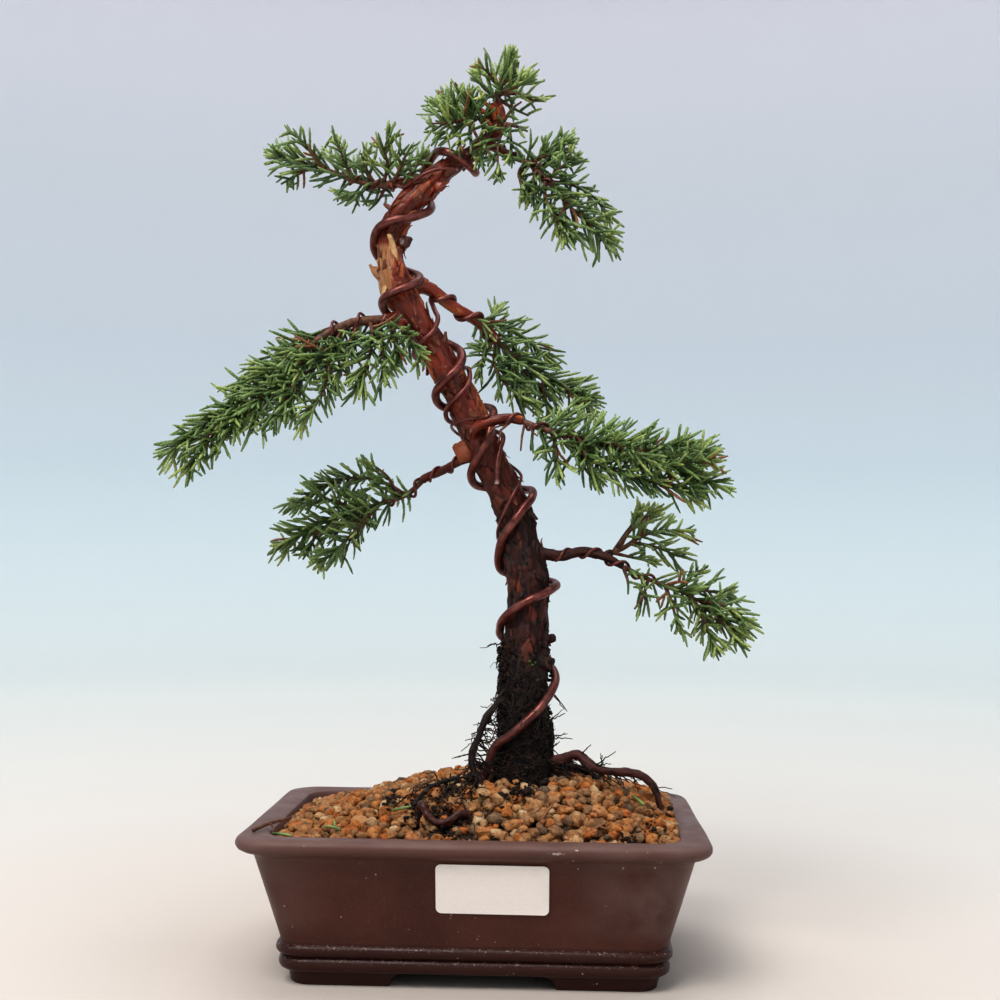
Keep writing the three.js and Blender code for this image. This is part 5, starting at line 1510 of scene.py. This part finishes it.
# The outline of each spray as the camera sees it, on the upright plane through the pot's middle
PAD_OUTLINES = {
    "top_left": [
        (-112, 392), (-102, 402), (-96, 404), (-79, 406), (-71, 397), (-66, 388), (-58, 398), (-49, 407),
        (-41, 399), (-29, 395), (-27, 384), (-34, 376), (-49, 366), (-60, 363), (-72, 364), (-76, 369),
        (-85, 373), (-92, 371), (-102, 372), (-109, 379),
    ],
    "crown_left": [
        (-32, 416), (-26, 420), (-22, 425), (-13, 426), (-6, 425), (1, 418), (3, 407), (1, 391),
        (-9, 389), (-23, 390), (-31, 396), (-30, 405),
    ],
    "apex": [
        (-10, 433), (0, 444), (13, 445), (17, 434), (24, 431), (33, 421), (29, 412), (21, 408), (9, 405),
        (-1, 410), (-7, 422),
    ],
    "crown_low": [
        (-10, 392), (6, 409), (22, 409), (21, 392), (14, 383), (10, 377), (2, 374), (-4, 381),
    ],
    "top_right": [
        (10, 408), (32, 403), (42, 403), (45, 394), (51, 384), (55, 373), (63, 367), (66, 362),
        (70, 348), (65, 337), (52, 334), (37, 339), (26, 343), (22, 354), (16, 367), (16, 379), (9, 392),
    ],
    "left_upper": [
        (-164, 244), (-154, 247), (-156, 271), (-137, 280), (-121, 289), (-113, 300), (-103, 306),
        (-92, 304), (-86, 296), (-69, 301), (-52, 302), (-42, 309), (-28, 295), (-29, 281), (-34, 276),
        (-43, 273), (-56, 261), (-65, 265), (-78, 257), (-85, 250), (-92, 243), (-109, 243), (-122, 241),
        (-128, 236), (-133, 229), (-147, 221), (-156, 226), (-164, 234),
    ],
    "back_right": [
        (-11, 290), (-9, 302), (8, 319), (14, 313), (27, 306), (35, 295), (45, 292), (55, 283),
        (59, 266), (53, 253), (37, 255), (15, 260), (11, 266), (1, 268), (-6, 279),
    ],
    "right_main": [
        (22, 245), (26, 263), (43, 269), (56, 267), (70, 263), (88, 265), (96, 260), (106, 261),
        (117, 255), (119, 238), (125, 224), (116, 216), (108, 214), (99, 213), (90, 216), (82, 219),
        (76, 221), (64, 217), (48, 220), (39, 225), (29, 222), (24, 234),
    ],
    "left_lower": [
        (-108, 213), (-97, 216), (-91, 227), (-86, 230), (-74, 235), (-68, 237), (-57, 240), (-53, 234),
        (-39, 227), (-33, 216), (-32, 207), (-48, 204), (-54, 203), (-61, 196), (-60, 185), (-69, 179),
        (-79, 182), (-82, 183), (-89, 190), (-97, 183), (-105, 187), (-106, 201), (-106, 206),
    ],
    "right_lower_upright": [
        (72, 192), (75, 197), (75, 205), (69, 213), (69, 217), (74, 222), (82, 218), (93, 217), (102, 208),
        (106, 200), (105, 184), (91, 184), (76, 189),
    ],
    "right_lower": [
        (73, 184), (88, 187), (100, 191), (112, 188), (118, 186), (129, 182), (133, 170), (135, 158),
        (136, 143), (120, 147), (110, 139), (102, 142), (98, 153), (88, 159), (81, 160), (74, 158),
        (74, 171),
    ],
}


def add_cord(shape, start, direction, length, radius, rings, bow):
    """Adds a closed cord of scale leaves to a shape: a five-sided ring pushed out along a bowed route."""
    direction = direction.normalized()
    turn = direction.to_track_quat("Z", "Y").to_matrix().to_4x4()
    made = bmesh.ops.create_circle(
        shape, cap_ends=True, segments=5, radius=radius * 0.8, matrix=Matrix.Translation(start) @ turn,
    )
    face = made["verts"][0].link_faces[0]
    if face.normal.dot(direction) > 0:
        bmesh.ops.reverse_faces(shape, faces=[face])
    middle, size = start.copy(), 0.8
    for ring in range(1, rings + 1):
        share = ring / rings
        grown = bmesh.ops.extrude_face_region(shape, geom=[face])["geom"]
        if ring > 1:
            bmesh.ops.delete(shape, geom=[face], context="FACES_ONLY")
        points = [part for part in grown if isinstance(part, bmesh.types.BMVert)]
        face = next(part for part in grown if isinstance(part, bmesh.types.BMFace))
        target = start + direction * length * share + bow * share * share
        bulge = 1.13 if ring % 2 else 0.9
        wanted = 0.5 if ring == rings else bulge * (1 - 0.1 * share)
        bmesh.ops.translate(shape, vec=target - middle, verts=points)
        bmesh.ops.scale(
            shape, vec=(wanted / size, wanted / size, wanted / size),
            space=Matrix.Translation(-target), verts=points,
        )
        middle, size = target, wanted


def sprig_shape(draw, fingers):
    """A branchlet of about 1 long that points up, about 0.1 thick, with its side cords."""
    shape = bmesh.new()
    bow = Vector((draw.uniform(-0.16, 0.16), draw.uniform(-0.16, 0.16), 0))
    thick = 0.05
    add_cord(shape, Vector((0, 0, 0)), Vector((0, 0, 1)), 1.0, thick, 7, bow)
    turn = draw.uniform(0, math.tau)
    for finger in range(fingers):
        share = 0.24 + 0.46 * (finger + draw.random() * 0.8) / fingers
        turn += math.pi * draw.uniform(0.7, 1.3)
        lean = math.radians(draw.uniform(22, 40))
        out = Vector((math.cos(turn), math.sin(turn), 0))
        direction = Vector((0, 0, 1)) * math.cos(lean) + out * math.sin(lean)
        length = draw.uniform(0.42, 0.7) * (1.2 - 0.6 * share)
        start = Vector((0, 0, share)) + bow * share * share
        add_cord(shape, start, direction, length, thick * 0.92, 4, Vector((0, 0, 0.05)) - out * 0.03)
    mesh = bpy.data.meshes.new("sprig")
    shape.normal_update()
    shape.to_mesh(mesh)
    shape.free()
    return mesh


def leafy_stems(branch):
    """The leafy stems of a branch: route, reach of the foliage, the share where it starts and radius."""
    length = run_along(evenly(branch["path"], np.linspace(0, 1, 60)))[-1]
    start = branch["bare"] + (0.3 / length if branch["bare"] > 0 else 0)
    main = evenly(branch["path"], start + (1 - start) * np.arange(9) / 8)
    stems = [(main, branch["reach"], 0.04, max(1.4, branch["radius"][0] * (1 - start)))]
    twigs = branch["twigs"] + MORE_TWIGS[branch["name"]]
    return stems + [(np.array(points, float), reach, 0.14, 1.1) for reach, points in twigs]


def in_outline(dot, outline):
    """Whether a point is inside an outline as the camera sees it."""
    share = CAMERA_PLACE[1] / (CAMERA_PLACE[1] - dot[1])
    x = CAMERA_PLACE[0] + (dot[0] - CAMERA_PLACE[0]) * share
    z = CAMERA_PLACE[2] + (dot[2] - CAMERA_PLACE[2]) * share
    inside = False
    for (x1, z1), (x2, z2) in zip(outline, outline[1:] + outline[:1]):
        if (z1 > z) != (z2 > z) and x < x1 + (x2 - x1) * (z - z1) / (z2 - z1):
            inside = not inside
    return inside


def cord_tip(start, tangent, turn, lean, stand_off, rise):
    """Where a cord ends that stands off a stem at a turn round it, leans forward and rises."""
    side, up = across(tangent)
    tip = start + (side * math.cos(turn) + up * math.sin(turn)) * stand_off
    tip += tangent * (stand_off / math.tan(math.radians(lean)))
    tip.z += stand_off * rise
    return tip


foliage_random = random.Random(77)
sprig_shapes = [
    arrays_of(sprig_shape(foliage_random, (0, 0, 1, 1)[number % 4]))
    for number in range(CORD_SHAPES)
]
leaves, tree, shader = new_material("scale_leaves")
length_along = times(tree, reading(tree, "along"), reading(tree, "length"))
scales = node(tree, "ShaderNodeMath", {0: times(tree, length_along, 4200)}, operation="SINE").outputs[0]
tone = reading(tree, "tone")
tip = ramp(tree, reading(tree, "along"), 0.1, 0.95)
where = coordinates(tree)
# Each cord darkens from its tip towards its base inside the spray: painted shade
inner_painted_shade = blend_colours(tree, tone, (0.024, 0.05, 0.01), (0.085, 0.145, 0.036))
outer = blend_colours(tree, tone, (0.058, 0.112, 0.03), (0.22, 0.315, 0.1))
colour = blend_colours(tree, tip, inner_painted_shade, outer)
fresh = times(tree, reading(tree, "fresh"), ramp(tree, tip, 0, 1, 0.3, 1))
colour = blend_colours(tree, fresh, colour, (0.4, 0.46, 0.13))
colour = blend_colours(tree, ramp(tree, scales, 0.2, 1, 0, 0.35), colour, (0.02, 0.045, 0.012))
# Pale spots on the leaves: painted highlight
painted_highlight_flecks = ramp(tree, cloudy(tree, where, 800, 2), 0.55, 0.8, 0, 0.4)
colour = blend_colours(tree, painted_highlight_flecks, colour, (0.3, 0.38, 0.18))
colour = blend_colours(tree, ramp(tree, reading(tree, "dry"), 0.4, 0.6), colour, (0.19, 0.075, 0.026))
tree.links.new(colour, shader.inputs["Base Color"])
shader.inputs["Roughness"].default_value = 0.42
shader.inputs["Specular IOR Level"].default_value = 0.4
tree.links.new(rounded_up(tree, scales, 0.35, 0.0002), shader.inputs["Normal"])
stem_bark, tree, shader = new_material("twig_bark")
where = coordinates(tree)
mottle = cloudy(tree, where, 500, 4)
colour = blend_colours(tree, ramp(tree, mottle, 0.3, 0.7), (0.045, 0.015, 0.009), (0.15, 0.06, 0.03))
colour = blend_colours(tree, ramp(tree, reading(tree, "share"), 0.4, 0.8), colour, (0.05, 0.085, 0.025))
tree.links.new(colour, shader.inputs["Base Color"])
shader.inputs["Roughness"].default_value = 0.55
shader.inputs["Specular IOR Level"].default_value = 0.3
tree.links.new(rounded_up(tree, mottle, 0.5, 0.0003), shader.inputs["Normal"])
for number, branch in enumerate(BRANCHES):
    draw = random.Random(500 + number)
    places, bends, tones_with_painted_light, freshness, lengths, dryness = [], [], [], [], [], []
    stems = leafy_stems(branch)
    airy = AIRY.get(branch["name"], 1)
    yellow = {"apex": 0.22, "right_lower_upright": 0.22, "right_lower": 0.08}.get(branch["name"], 0)
    for points, reach, start_share, _ in stems:
        whole = run_along(evenly(points, np.linspace(0, 1, 60)))[-1]
        count = max(7, round(whole * (1 - start_share) / CORD_SPACING * (0.3 + reach / 24) / airy))
        for k in range(count + 5):
            share = min(0.985, start_share + (1 - start_share) * (k + draw.random()) / count)
            near_three = evenly(points, [share - 0.01, share, min(1, share + 0.01)])
            before, here, after = (Vector(dot) for dot in near_three)
            tangent = (after - before).normalized()
            lean = LEAN_BASE + (LEAN_TIP - LEAN_BASE) * share + draw.uniform(-20, 18)
            fullness = 0.72 + 0.28 * math.sin(math.pi * min(1, 0.25 + share))
            stand_off = reach * fullness * math.sqrt(airy) * (0.62 + 0.82 * draw.random() ** 0.7)
            if k >= count:
                lean = draw.uniform(10, 26)
                stand_off *= 0.32
            turn = math.radians(k * GOLDEN_TURN + draw.uniform(-25, 25))
            rise = 0.3 * (draw.random() - 0.3) + RISING.get(branch["name"], 0)
            tip = cord_tip(here, tangent, turn, lean, stand_off, rise)
            tip = here.lerp(tip, min(1, CORD_LONGEST / (tip - here).length))
            outline = PAD_OUTLINES[branch["name"]]
            sizes = [
                size
                for size in (1, 0.86, 0.72, 0.6, 0.5)
                if in_outline(here.lerp(tip, 0.91 * size), outline)
            ]
            if not sizes or (tip - here).length * sizes[0] < 5.5:
                continue
            tip = here.lerp(tip, sizes[0] * draw.uniform(0.88, 1))
            length = (tip - here).length
            droop = draw.uniform(-0.02, 0.14) if tip.z > here.z else draw.uniform(-0.22, 0.04)
            bend = (
                tangent * draw.uniform(0, 0.2) + Vector((draw.gauss(0, 0.12), draw.gauss(0, 0.12), droop))
            ) * length
            axis = tip - bend - here
            home, middle = place(*here), place(*(here + axis * 0.6 + bend * 0.36))
            if trunk_tree.find(middle)[2] < 1.8 * MM or trunk_tree.find(place(*tip))[2] < 1.5 * MM:
                continue
            roll = Matrix.Rotation(draw.uniform(0, math.tau), 4, "Z")
            turn_to = axis.to_track_quat("Z", "Y").to_matrix().to_4x4()
            thick = CORD_THICKNESS / 0.1 * draw.uniform(0.86, 1.12)
            stretch = Matrix.Diagonal((thick * MM, thick * MM, axis.length * MM, 1))
            places.append(np.array(Matrix.Translation(home) @ turn_to @ roll @ stretch))
            bends.append(np.array(bend * MM))
            lengths.append(axis.length * MM)
            # A cord's tone is random, and also lighter when it rises and darker when it hangs, as painted
            # light and shade, and darker above 350 mm, as painted shade that offsets the top lamp
            height_share = (tip.z - here.z) / max(1, length)
            painted_shade_up_high = 0.16 if tip.z > 350 else 0
            tones_with_painted_light.append(min(1, max(0, 0.44 - painted_shade_up_high + 0.33 * height_share + draw.gauss(0, 0.24))))
            freshness.append(min(1, max(0, draw.gauss(-0.12, 0.3) + 0.3 * share + yellow)))
            dryness.append(1.0 if draw.random() < 0.02 else 0.0)
    picks = [draw.randrange(CORD_SHAPES) for _ in places]
    leaf_mesh = copies(
        "leaf_cords", sprig_shapes, picks, places, np.array(bends),
        tone=tones_with_painted_light, fresh=freshness, length=lengths, dry=dryness,
    )
    name = "foliage_" + branch["name"]
    finished(name + "_cords", leaf_mesh, leaves, "foliage", name)
    stem_routes = [tapered(points, (radius, 0.5), 16) for points, _, _, radius in stems]
    stem_mesh = tubes(name + "_stems", stem_routes, 1)
    shares = np.concatenate([
        np.argmin(np.linalg.norm(dots[:, None] - route[None, :, :3], axis=2), axis=1) / 15
        for dots, route in zip(np.array_split(in_millimetres(stem_mesh), len(stem_routes)), stem_routes)
    ])
    mark(stem_mesh, share=shares)
    finished(name + "_stems", stem_mesh, stem_bark, "foliage", name)
# Dry brown twigs with no leaves left hang where the right main branch begins
dry_routes = [
    np.array([(13, -18, 255, 0.7), (9, -22, 251, 0.6), (8, -24, 245, 0.4)]),
    np.array([(20, -18, 254, 0.7), (19, -23, 248, 0.6), (18.5, -25, 241, 0.4)]),
    np.array([(22, -19, 254, 0.6), (24, -23, 250, 0.5), (26.5, -25, 248, 0.35)]),
    np.array([(10, -19, 254, 0.5), (6, -23, 252, 0.45), (3, -25, 249, 0.3)]),
]
dry_mesh = tubes("dry_twigs", dry_routes, 1)
mark(dry_mesh, share=np.zeros(len(dry_mesh.vertices)))
finished("dry_twigs", dry_mesh, stem_bark, "bark")

# The litter: clods of black potting soil, bits of moss on the trunk's foot, and cut ends of foliage.
# They fell on the gravel and the rim when the tree was trimmed and potted, and nobody has swept them off.
draw = random.Random(8)
clod_places, clod_tones = [], []
for x, y, count, spread, size in [
    (-40, -30, 26, 2.6, 1.7), (-11, -52, 34, 3.2, 1.7), (20, -27, 60, 2.6, 2.0), (69, -54, 34, 2.4, 1.8),
    (-14, -24, 34, 5, 1.6), (-25, -42, 50, 3.6, 1.6), (80, -44, 12, 2, 1.5), (-16, -44, 46, 4.4, 1.9),
]:
    for _ in range(count):
        dot = Vector((x + draw.gauss(0, spread), y + draw.gauss(0, spread), 0))
        dot.x, dot.y = max(-88, min(88, dot.x)), max(-59, min(59, dot.y))
        dot.z = mound_height(dot.x, dot.y) + draw.uniform(0.3, 3.0)
        clod_places.append(turned(draw, size * draw.uniform(0.45, 1.35), place(*dot)))
        clod_tones.append(draw.uniform(0.94, 1.0))
for _ in range(330):
    degrees, height = draw.uniform(0, 360), 86 + 66 * draw.random()
    spot = place(*beside_trunk(degrees, height, draw.uniform(-0.2, 1.0)))
    clod_places.append(turned(draw, draw.uniform(0.8, 2.6), spot))
    clod_tones.append(draw.uniform(0.93, 1.0))
for degrees, height, count in [(196, 143, 40), (214, 132, 26), (206, 121, 16), (228, 96, 20)]:
    for _ in range(count):
        spot = beside_trunk(
            degrees + draw.gauss(0, 9), height + draw.gauss(0, 2.6), draw.uniform(-0.3, 2.0),
        )
        clod_places.append(turned(draw, draw.uniform(0.8, 2.4), place(*spot)))
        clod_tones.append(draw.uniform(0.93, 1.0))
picks = [draw.randrange(GRAIN_SHAPES) for _ in clod_places]
clods = copies("soil_clods", grain_shapes, picks, clod_places, tone=clod_tones)
finished("soil_clods", clods, grit, "gravel")
moss, tree, shader = new_material("moss")
where = coordinates(tree)
tufts = cloudy(tree, where, 900, 3)
tree.links.new(
    blend_colours(tree, tufts, (0.02, 0.05, 0.008), (0.12, 0.2, 0.03)), shader.inputs["Base Color"],
)
shader.inputs["Roughness"].default_value = 0.9
tree.links.new(rounded_up(tree, tufts, 0.8, 0.0005), shader.inputs["Normal"])
moss_places = []
for degrees, height, count in [(284, 141, 7), (322, 113, 12)]:
    for _ in range(count):
        spot = place(
            *beside_trunk(degrees + draw.gauss(0, 4), height + draw.gauss(0, 1.1), draw.uniform(0.5, 1.1))
        )
        moss_places.append(turned(draw, draw.uniform(0.6, 1.4), spot))
picks = [draw.randrange(GRAIN_SHAPES) for _ in moss_places]
finished("moss_bits", copies("moss_bits", grain_shapes, picks, moss_places), moss, "foliage")
litter = []
for start, end, height in [
    ((-38, -40), (-29, -38), 2.6), ((-92, -46), (-83, -50), 2.2), ((52, -50), (60, -46), 2.4),
    ((-60, -50), (-66, -44), 2.0), ((30, -46), (34, -38), 2.6), ((-20, -58), (-12, -60), 2.6),
    ((72, -20), (78, -28), 2.4),
]:
    lift = place(*start, mound_height(*start) + height)
    axis = place(*end, mound_height(*end) + height + 0.6) - lift
    turn = axis.to_track_quat("Z", "Y").to_matrix().to_4x4()
    stretch = Matrix.Diagonal((15 * MM, 15 * MM, axis.length, 1))
    litter.append(np.array(Matrix.Translation(lift) @ turn @ stretch))
count = len(litter)
marks = {
    "tone": [0.6] * count, "fresh": [0.3] * count, "length": [0.011] * count,
    "dry": [0, 0, 1, 0, 1, 1, 0],
}
fallen = copies("fallen_cords", sprig_shapes, list(range(count)), litter, np.zeros((count, 3)), **marks)
finished("fallen_cords", fallen, leaves, "foliage")
rim_top = POT_HEIGHT + 0.9
twig_routes = [
    np.array(
        [
            (-98.5, -55, rim_top - 0.2, 0.9), (-94, -49, rim_top + 1.4, 0.85),
            (-88, -44, rim_top + 2.6, 0.7), (-84, -40, rim_top + 3, 0.5),
        ]
    ),
    np.array(
        [(-92, -47.5, rim_top + 1.6, 0.6), (-90, -52, rim_top + 0.6, 0.5), (-89, -55, rim_top - 0.2, 0.4)]
    ),
]
twig_mesh = tubes("rim_twig", twig_routes, 1)
mark(twig_mesh, share=np.zeros(len(twig_mesh.vertices)))
finished("rim_twig", twig_mesh, stem_bark, "bark")

# The label: a blank white paper sticker with rounded corners, stuck to the front wall of the pot.
# It follows the wall's slope, and two of its corners lift a little.
LABEL_CENTRE_X, LABEL_CENTRE_Z = 9, 46.5
LABEL_WIDTH, LABEL_HEIGHT = 49.4, 23.2

sticker = bmesh.new()
bmesh.ops.create_grid(sticker, x_segments=1, y_segments=1, size=0.5)
bmesh.ops.scale(sticker, vec=(LABEL_WIDTH, LABEL_HEIGHT, 1), verts=sticker.verts)
bmesh.ops.bevel(
    sticker, geom=sticker.verts[:], offset=2.5, offset_type="OFFSET", affect="VERTICES",
    segments=8, profile=0.5, material=-1,
)
bmesh.ops.inset_region(sticker, faces=sticker.faces[:], thickness=0.5, use_even_offset=True)
grown = bmesh.ops.extrude_face_region(sticker, geom=sticker.faces[:])["geom"]
lifted = [part for part in grown if isinstance(part, bmesh.types.BMVert)]
bmesh.ops.translate(sticker, vec=(0, 0, 0.28), verts=lifted)
bmesh.ops.recalc_face_normals(sticker, faces=sticker.faces)
for vert in sticker.verts:
    corner = max(0, vert.co.x / LABEL_WIDTH + abs(vert.co.y) / LABEL_HEIGHT - 0.8)
    vert.co.z += 1.6 * corner * corner * 8
WALL_FOOT_Z, WALL_FOOT_INSET = 19.5, 17.7
WALL_TOP_Z, WALL_TOP_INSET = 58.5, 7
slope = math.atan2(WALL_FOOT_INSET - WALL_TOP_INSET, WALL_TOP_Z - WALL_FOOT_Z)
share = (LABEL_CENTRE_Z - WALL_FOOT_Z) / (WALL_TOP_Z - WALL_FOOT_Z)
wall_y = -(POT_HALF_Y - (WALL_FOOT_INSET + (WALL_TOP_INSET - WALL_FOOT_INSET) * share))
middle = (LABEL_CENTRE_X, wall_y - 0.42, LABEL_CENTRE_Z)
turn = Matrix.Translation(middle) @ Matrix.Rotation(math.pi / 2 + slope, 4, "X")
bmesh.ops.transform(sticker, matrix=turn, verts=sticker.verts)
bmesh.ops.scale(sticker, vec=(MM, MM, MM), verts=sticker.verts)
bmesh.ops.translate(sticker, vec=place(0, 0, 0), verts=sticker.verts)
sticker_mesh = bpy.data.meshes.new("label")
sticker.to_mesh(sticker_mesh)
sticker.free()
paper, tree, shader = new_material("label_paper")
where = coordinates(tree)
fibres_seen = cloudy(tree, where, 1400, 4)
colour = blend_colours(tree, ramp(tree, fibres_seen, 0.3, 0.7), (0.76, 0.695, 0.65), (0.81, 0.745, 0.7))
smudge = ramp(tree, cloudy(tree, where, 60, 3), 0.55, 0.75, 0, 0.12)
tree.links.new(blend_colours(tree, smudge, colour, (0.42, 0.37, 0.33)), shader.inputs["Base Color"])
shader.inputs["Roughness"].default_value = 0.5
tree.links.new(rounded_up(tree, fibres_seen, 0.08, 0.0002), shader.inputs["Normal"])
finished("blank_label", sticker_mesh, paper, "label", "label")

# The camera: it stands a little below the middle of the tree and looks at it from the front.
# Its place and lens give the same view of the pot's corners as the photograph.
CAMERA_YAW, CAMERA_PITCH, CAMERA_ROLL = -0.039633, 0.046584, -0.010278
CAMERA_FOCAL_SHARE = 1.366528

camera_data = bpy.data.cameras.new("camera")
camera = bpy.data.objects.new("camera", camera_data)
bpy.context.scene.collection.objects.link(camera)
forward = Vector((
    math.sin(CAMERA_YAW) * math.cos(CAMERA_PITCH), math.cos(CAMERA_YAW) * math.cos(CAMERA_PITCH),
    math.sin(CAMERA_PITCH),
))
level = Vector((math.cos(CAMERA_YAW), -math.sin(CAMERA_YAW), 0))
upright = level.cross(forward)
right = level * math.cos(CAMERA_ROLL) - upright * math.sin(CAMERA_ROLL)
up = level * math.sin(CAMERA_ROLL) + upright * math.cos(CAMERA_ROLL)
facing = Matrix((right, up, -forward)).transposed().to_4x4()
camera.matrix_world = Matrix.Translation(place(*CAMERA_PLACE)) @ facing
camera_data.sensor_fit = "HORIZONTAL"
camera_data.sensor_width = 36
camera_data.lens = 36 * CAMERA_FOCAL_SHARE
camera_data.clip_start = 0.01
bpy.context.scene.camera = camera

# The studio: a pale floor that curves up into a pale wall all round, lit by soft lamps.
# It isn't part of the object.
cove_profile = [
    (0, 0), (0.5, 0), (1.0, 0), (1.5, 0.02), (1.9, 0.12), (2.2, 0.4), (2.4, 0.9), (2.5, 1.6),
    (2.5, 3.2),
]
cove = bmesh.new()
profile = [cove.verts.new((reach, 0, height)) for reach, height in cove_profile]
edges = [cove.edges.new(pair) for pair in zip(profile, profile[1:])]
bmesh.ops.spin(
    cove, geom=profile + edges, cent=(0, 0, 0), axis=(0, 0, 1), angle=math.tau, steps=64, use_merge=True,
)
bmesh.ops.remove_doubles(cove, verts=cove.verts, dist=1e-5)
bmesh.ops.recalc_face_normals(cove, faces=cove.faces)
cove_mesh = bpy.data.meshes.new("floor")
cove.to_mesh(cove_mesh)
cove.free()
cove_mesh.shade_smooth()
floor = bpy.data.objects.new("floor", cove_mesh)
bpy.context.scene.collection.objects.link(floor)
paper_wall, tree, shader = new_material("studio_paper")
# The paper's colour changes with the distance from the middle: painted light and shade, darker and warm on
# the floor round the pot, bluish up the cove and pale at its top
off_centre = node(
    tree, "ShaderNodeVectorMath", {0: coordinates(tree, (0.33, 0.33, 0.33))}, operation="LENGTH",
)
painted_backdrop_light = node(tree, "ShaderNodeValToRGB", {"Fac": off_centre.outputs["Value"]})
stops = [
    (0.03, (0.525, 0.465, 0.415)), (0.14, (0.6, 0.57, 0.533)), (0.4, (0.72, 0.745, 0.71)),
    (0.63, (0.735, 0.82, 0.824)), (0.717, (0.648, 0.743, 0.781)), (0.79, (0.635, 0.69, 0.74)),
    (0.865, (0.707, 0.736, 0.782)), (0.947, (0.88, 0.867, 0.92)),
]
while len(painted_backdrop_light.color_ramp.elements) < len(stops):
    painted_backdrop_light.color_ramp.elements.new(0.5)
for element, (position, rgb) in zip(painted_backdrop_light.color_ramp.elements, stops):
    element.position, element.color = position, (*rgb, 1)
tree.links.new(painted_backdrop_light.outputs["Color"], shader.inputs["Base Color"])
shader.inputs["Roughness"].default_value = 0.9
shader.inputs["Specular IOR Level"].default_value = 0.1
cove_mesh.materials.append(paper_wall)
floor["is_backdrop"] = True


def lamp(name, position, target, size, power, colour):
    """A soft square lamp that faces a target."""
    data = bpy.data.lights.new(name, "AREA")
    data.size, data.energy, data.color = size, power, colour
    made = bpy.data.objects.new(name, data)
    bpy.context.scene.collection.objects.link(made)
    made.location = position
    made.rotation_euler = (Vector(target) - Vector(position)).to_track_quat("-Z", "Y").to_euler()


lamp("key", (-0.5, -1.0, 1.5), (0, 0, 0.2), 0.9, 26, (1.0, 0.97, 0.94))
lamp("fill", (1.2, -0.9, 0.9), (0, 0, 0.2), 1.2, 4, (0.95, 0.97, 1.0))
lamp("top", (0, 0.3, 2.0), (0, 0, 0.1), 1.4, 20, (1.0, 1.0, 1.0))
bpy.context.scene.view_settings.view_transform = "Standard"
bpy.context.scene.view_settings.look = "Medium High Contrast"
world = bpy.data.worlds.new("studio_air")
bpy.context.scene.world = world
world.use_nodes = True
world.node_tree.nodes["Background"].inputs["Color"].default_value = (0.8, 0.86, 0.95, 1)
world.node_tree.nodes["Background"].inputs["Strength"].default_value = 0.3

low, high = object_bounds()
